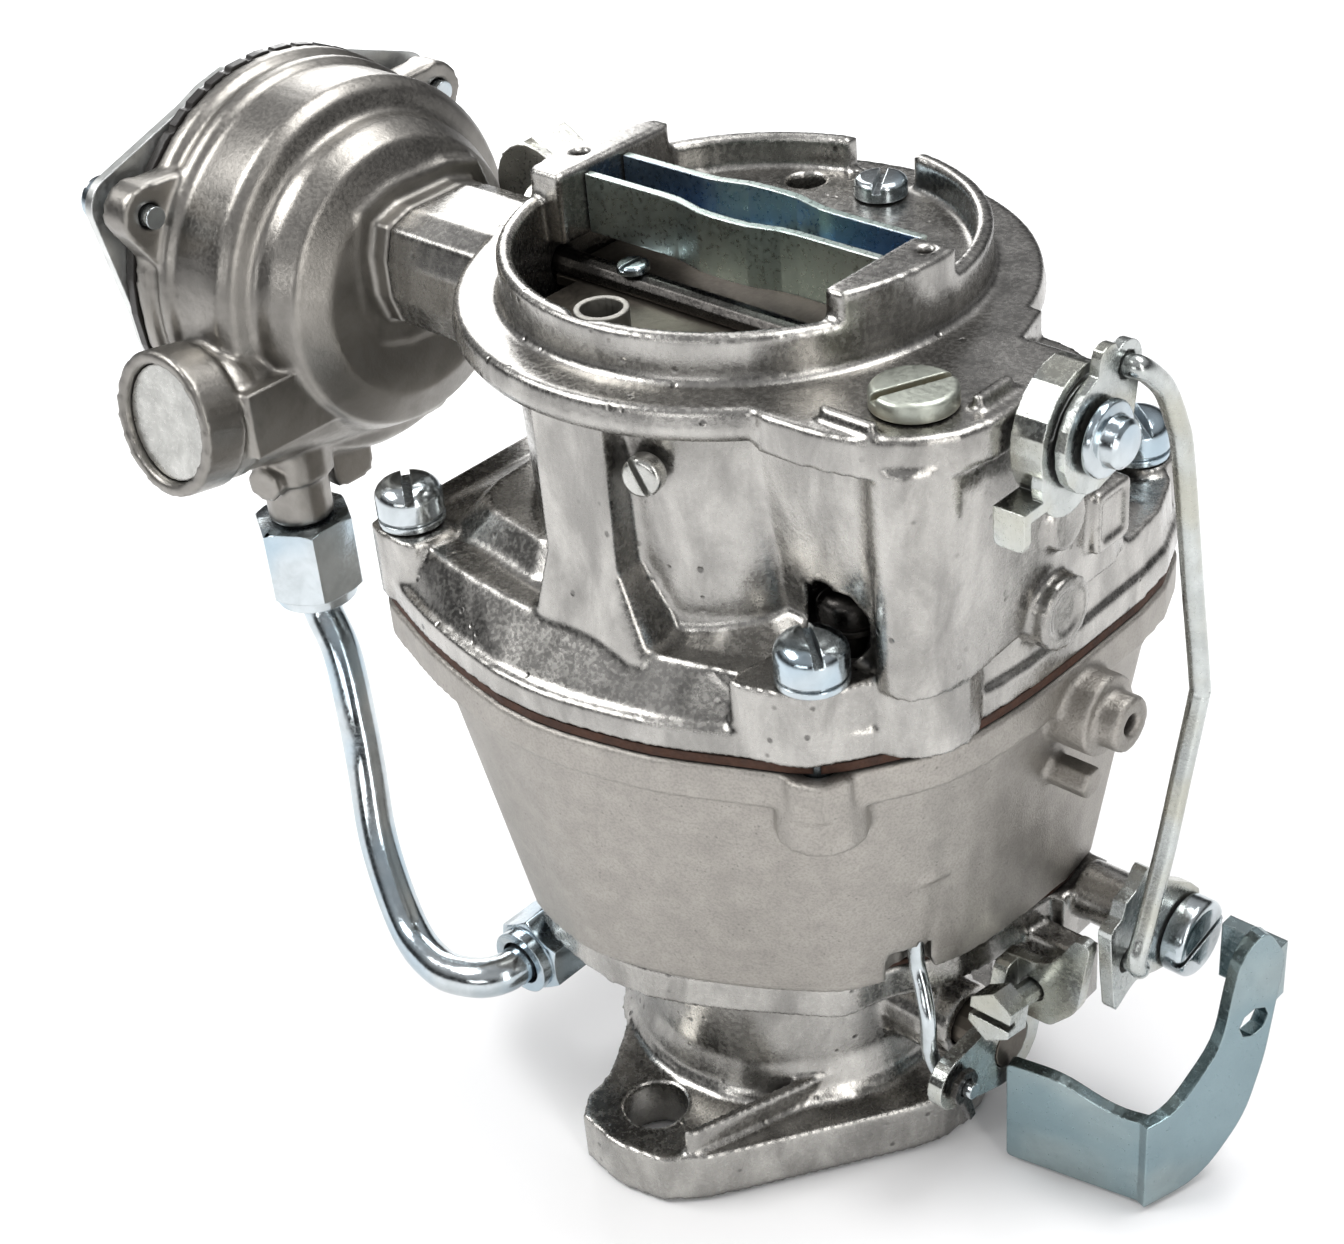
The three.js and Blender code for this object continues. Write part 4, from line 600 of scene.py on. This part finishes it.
for i in range(3):
    angle = math.radians(30 + 120 * i)
    y, z = CHOKE_AXIS[1] + 33.5 * math.cos(angle), CHOKE_AXIS[2] + 33.5 * math.sin(angle)
    name = f"choke_cover_screw_{i + 1}"
    screw(name, [-93.1, y, z], LEFT, 3.7, 3.2, [1.7, 11], crown=1.2, slot=1.1, spin=float(i))
screw("choke_valve_screw", [-16.5, -5, 137.2], UP, 2.4, 1.2, [1.1, 5], crown=0.5, slot=0.8, depth=0.6)
screw("cam_screw", [59.6, 22, 37.3], RIGHT, 6.2, 3.6, [1.6, 9], crown=1.0, depth=1.6, spin=0.2)
screw("body_screw_left", [-20, 31, 33.1], DOWN, 3.9, 3.2, [1.9, 5.3], slot=1.1)
screw("body_screw_right", [30, 32, 33.1], DOWN, 3.9, 3.2, [1.9, 5.3], slot=1.1)
screw("idle_mixture_screw", [-12, 42.4, 20], BACK, 4.4, 4.6, [2.2, 20], slot=1.2)
nut("tube_nut_upper", [TUBE_X, TUBE_Y, 75.5], UP, 16.5, 13, 4.0, [6.6, -1.9, 1])
nut("tube_nut_lower", [-26, -34, 26], BACK, 13.6, 8, 3.8, [5.4, -2, 1])
shaft_end = lathe([[0, 0], [5, 0], [5, 0.8], [4.8, 1.1], [3.4, 1.4], [3.2, 3], [2.6, 3.5], [0, 3.6]])
placed("choke_shaft_nut", shaft_end, [60.9, -5, 134.8], RIGHT, bevel=0.1)
vent_body = lathe([[0, 0], [3.6, 0], [3.6, 36.6], [0, 36.6]])
vent_bore = lathe([[0, 1.5], [2.8, 1.5], [2.8, 38], [0, 38]])
vent = combined(vent_body, vent_bore, "DIFFERENCE")
placed("vent_tube", vent, [0.8, -28.4, 109], UP)


# ---------------------------------------------------------------- stage
def stage_material():
    g = Graph("paper")
    tone = g.ramp(g.noise(6.0, 3.0, 0.5), 0.3, 0.7, 0.0, 1.0)
    g.put(g.shader.inputs["Base Color"], g.mix(tone, (0.86, 0.86, 0.87, 1.0), (0.9, 0.9, 0.9, 1.0)))
    g.put(g.shader.inputs["Roughness"], 0.55)
    g.put(g.shader.inputs["Normal"], g.bump(g.noise(900.0, 2.0, 0.5), 0.04, 0.1 * MM))
    return g.material


FLOOR_REACH = 3
FLOOR_DROP = 0.6 * MM
floor_corners = [(a * FLOOR_REACH, b * FLOOR_REACH, 0) for a, b in ((-1, -1), (1, -1), (1, 1), (-1, 1))]
floor = mesh_object("floor", floor_corners, [(0, 1, 2, 3)])
floor.location.z = -FLOOR_DROP
floor.data.materials.append(stage_material())

# Height in the sky, from 0 at the horizon and below it to 1 straight up, and how bright it is there.
SKY = ((0.0, 0.7), (0.06, 0.14), (0.25, 0.06), (0.5, 0.75), (0.68, 0.95), (0.95, 0.8))
SKY_STRENGTH = 0.55
BACKDROP = (0.48, 0.48, 0.485, 1.0)

world = bpy.data.worlds.new("studio")
scene.world = world
world.use_nodes = True
tree = world.node_tree
way = tree.nodes.new("ShaderNodeTexCoord")
split = tree.nodes.new("ShaderNodeSeparateXYZ")
tree.links.new(way.outputs["Generated"], split.inputs[0])
sky = tree.nodes.new("ShaderNodeValToRGB")
for position, level in SKY:
    stop = sky.color_ramp.elements[0] if position == 0.0 else sky.color_ramp.elements.new(position)
    stop.position = position
    stop.color = (level, level, level * 1.02, 1.0)
tree.links.new(split.outputs["Z"], sky.inputs["Fac"])
tree.links.new(sky.outputs["Color"], tree.nodes["Background"].inputs["Color"])
tree.nodes["Background"].inputs["Strength"].default_value = SKY_STRENGTH
# The metal mirrors the sky above, and past the floor's edge the camera sees a plain pale backdrop.
backdrop = tree.nodes.new("ShaderNodeBackground")
backdrop.inputs["Color"].default_value = BACKDROP
seen = tree.nodes.new("ShaderNodeLightPath")
choice = tree.nodes.new("ShaderNodeMixShader")
tree.links.new(seen.outputs["Is Camera Ray"], choice.inputs[0])
tree.links.new(tree.nodes["Background"].outputs[0], choice.inputs[1])
tree.links.new(backdrop.outputs[0], choice.inputs[2])
tree.links.new(choice.outputs[0], tree.nodes["World Output"].inputs["Surface"])

AIM = Vector((0.0, 0.0, 0.08))


def softbox(name, place, size, power, warmth=0.0):
    light = bpy.data.lights.new(name, "AREA")
    light.shape = "RECTANGLE"
    light.size, light.size_y = size
    light.energy = power
    light.color = (1.0, 1.0 - 0.04 * warmth, 1.0 - 0.1 * warmth)
    holder = bpy.data.objects.new(name, light)
    holder.location = place
    holder.rotation_euler = (AIM - Vector(place)).to_track_quat("-Z", "Y").to_euler()
    scene.collection.objects.link(holder)


softbox("key", (-0.55, -0.5, 0.95), (0.6, 0.4), 9)
softbox("overhead", (0.15, 0.35, 1.15), (0.8, 0.45), 10)
softbox("right_strip", (0.95, -0.35, 0.42), (0.2, 0.9), 3.5, 0.3)
softbox("left_strip", (-0.75, 0.55, 0.5), (0.25, 0.8), 3)
softbox("front_low", (0.25, -1.1, 0.35), (0.6, 0.15), 1.6)

# ---------------------------------------------------------------- camera
FOCAL_PX = 2339.2
FRAME_PX = (1344, 1244)
CENTRE_PX = (678.6, 657.3)
eye = Vector((196.83, -215.2, 274.42)) * MM
right = Vector((0.7389562, 0.66922347, -0.07799796))
down = Vector((0.32956787, -0.46000283, -0.82448918))
ahead = Vector((-0.5876468, 0.58355577, -0.5604765))
lens = bpy.data.cameras.new("camera")
lens.sensor_fit = "HORIZONTAL"
lens.sensor_width = 36.0
lens.lens = FOCAL_PX / FRAME_PX[0] * lens.sensor_width
lens.shift_x = (FRAME_PX[0] / 2 - CENTRE_PX[0]) / FRAME_PX[0]
lens.shift_y = (CENTRE_PX[1] - FRAME_PX[1] / 2) / FRAME_PX[0]
lens.clip_start = 0.01
camera = bpy.data.objects.new("camera", lens)
pose = Matrix((right, -down, -ahead)).transposed().to_4x4()
pose.translation = eye
camera.matrix_world = pose
scene.collection.objects.link(camera)
scene.camera = camera
scene.view_settings.view_transform = "Standard"
scene.view_settings.look = "None"
scene.view_settings.exposure = 0.0

bpy.context.view_layer.update()
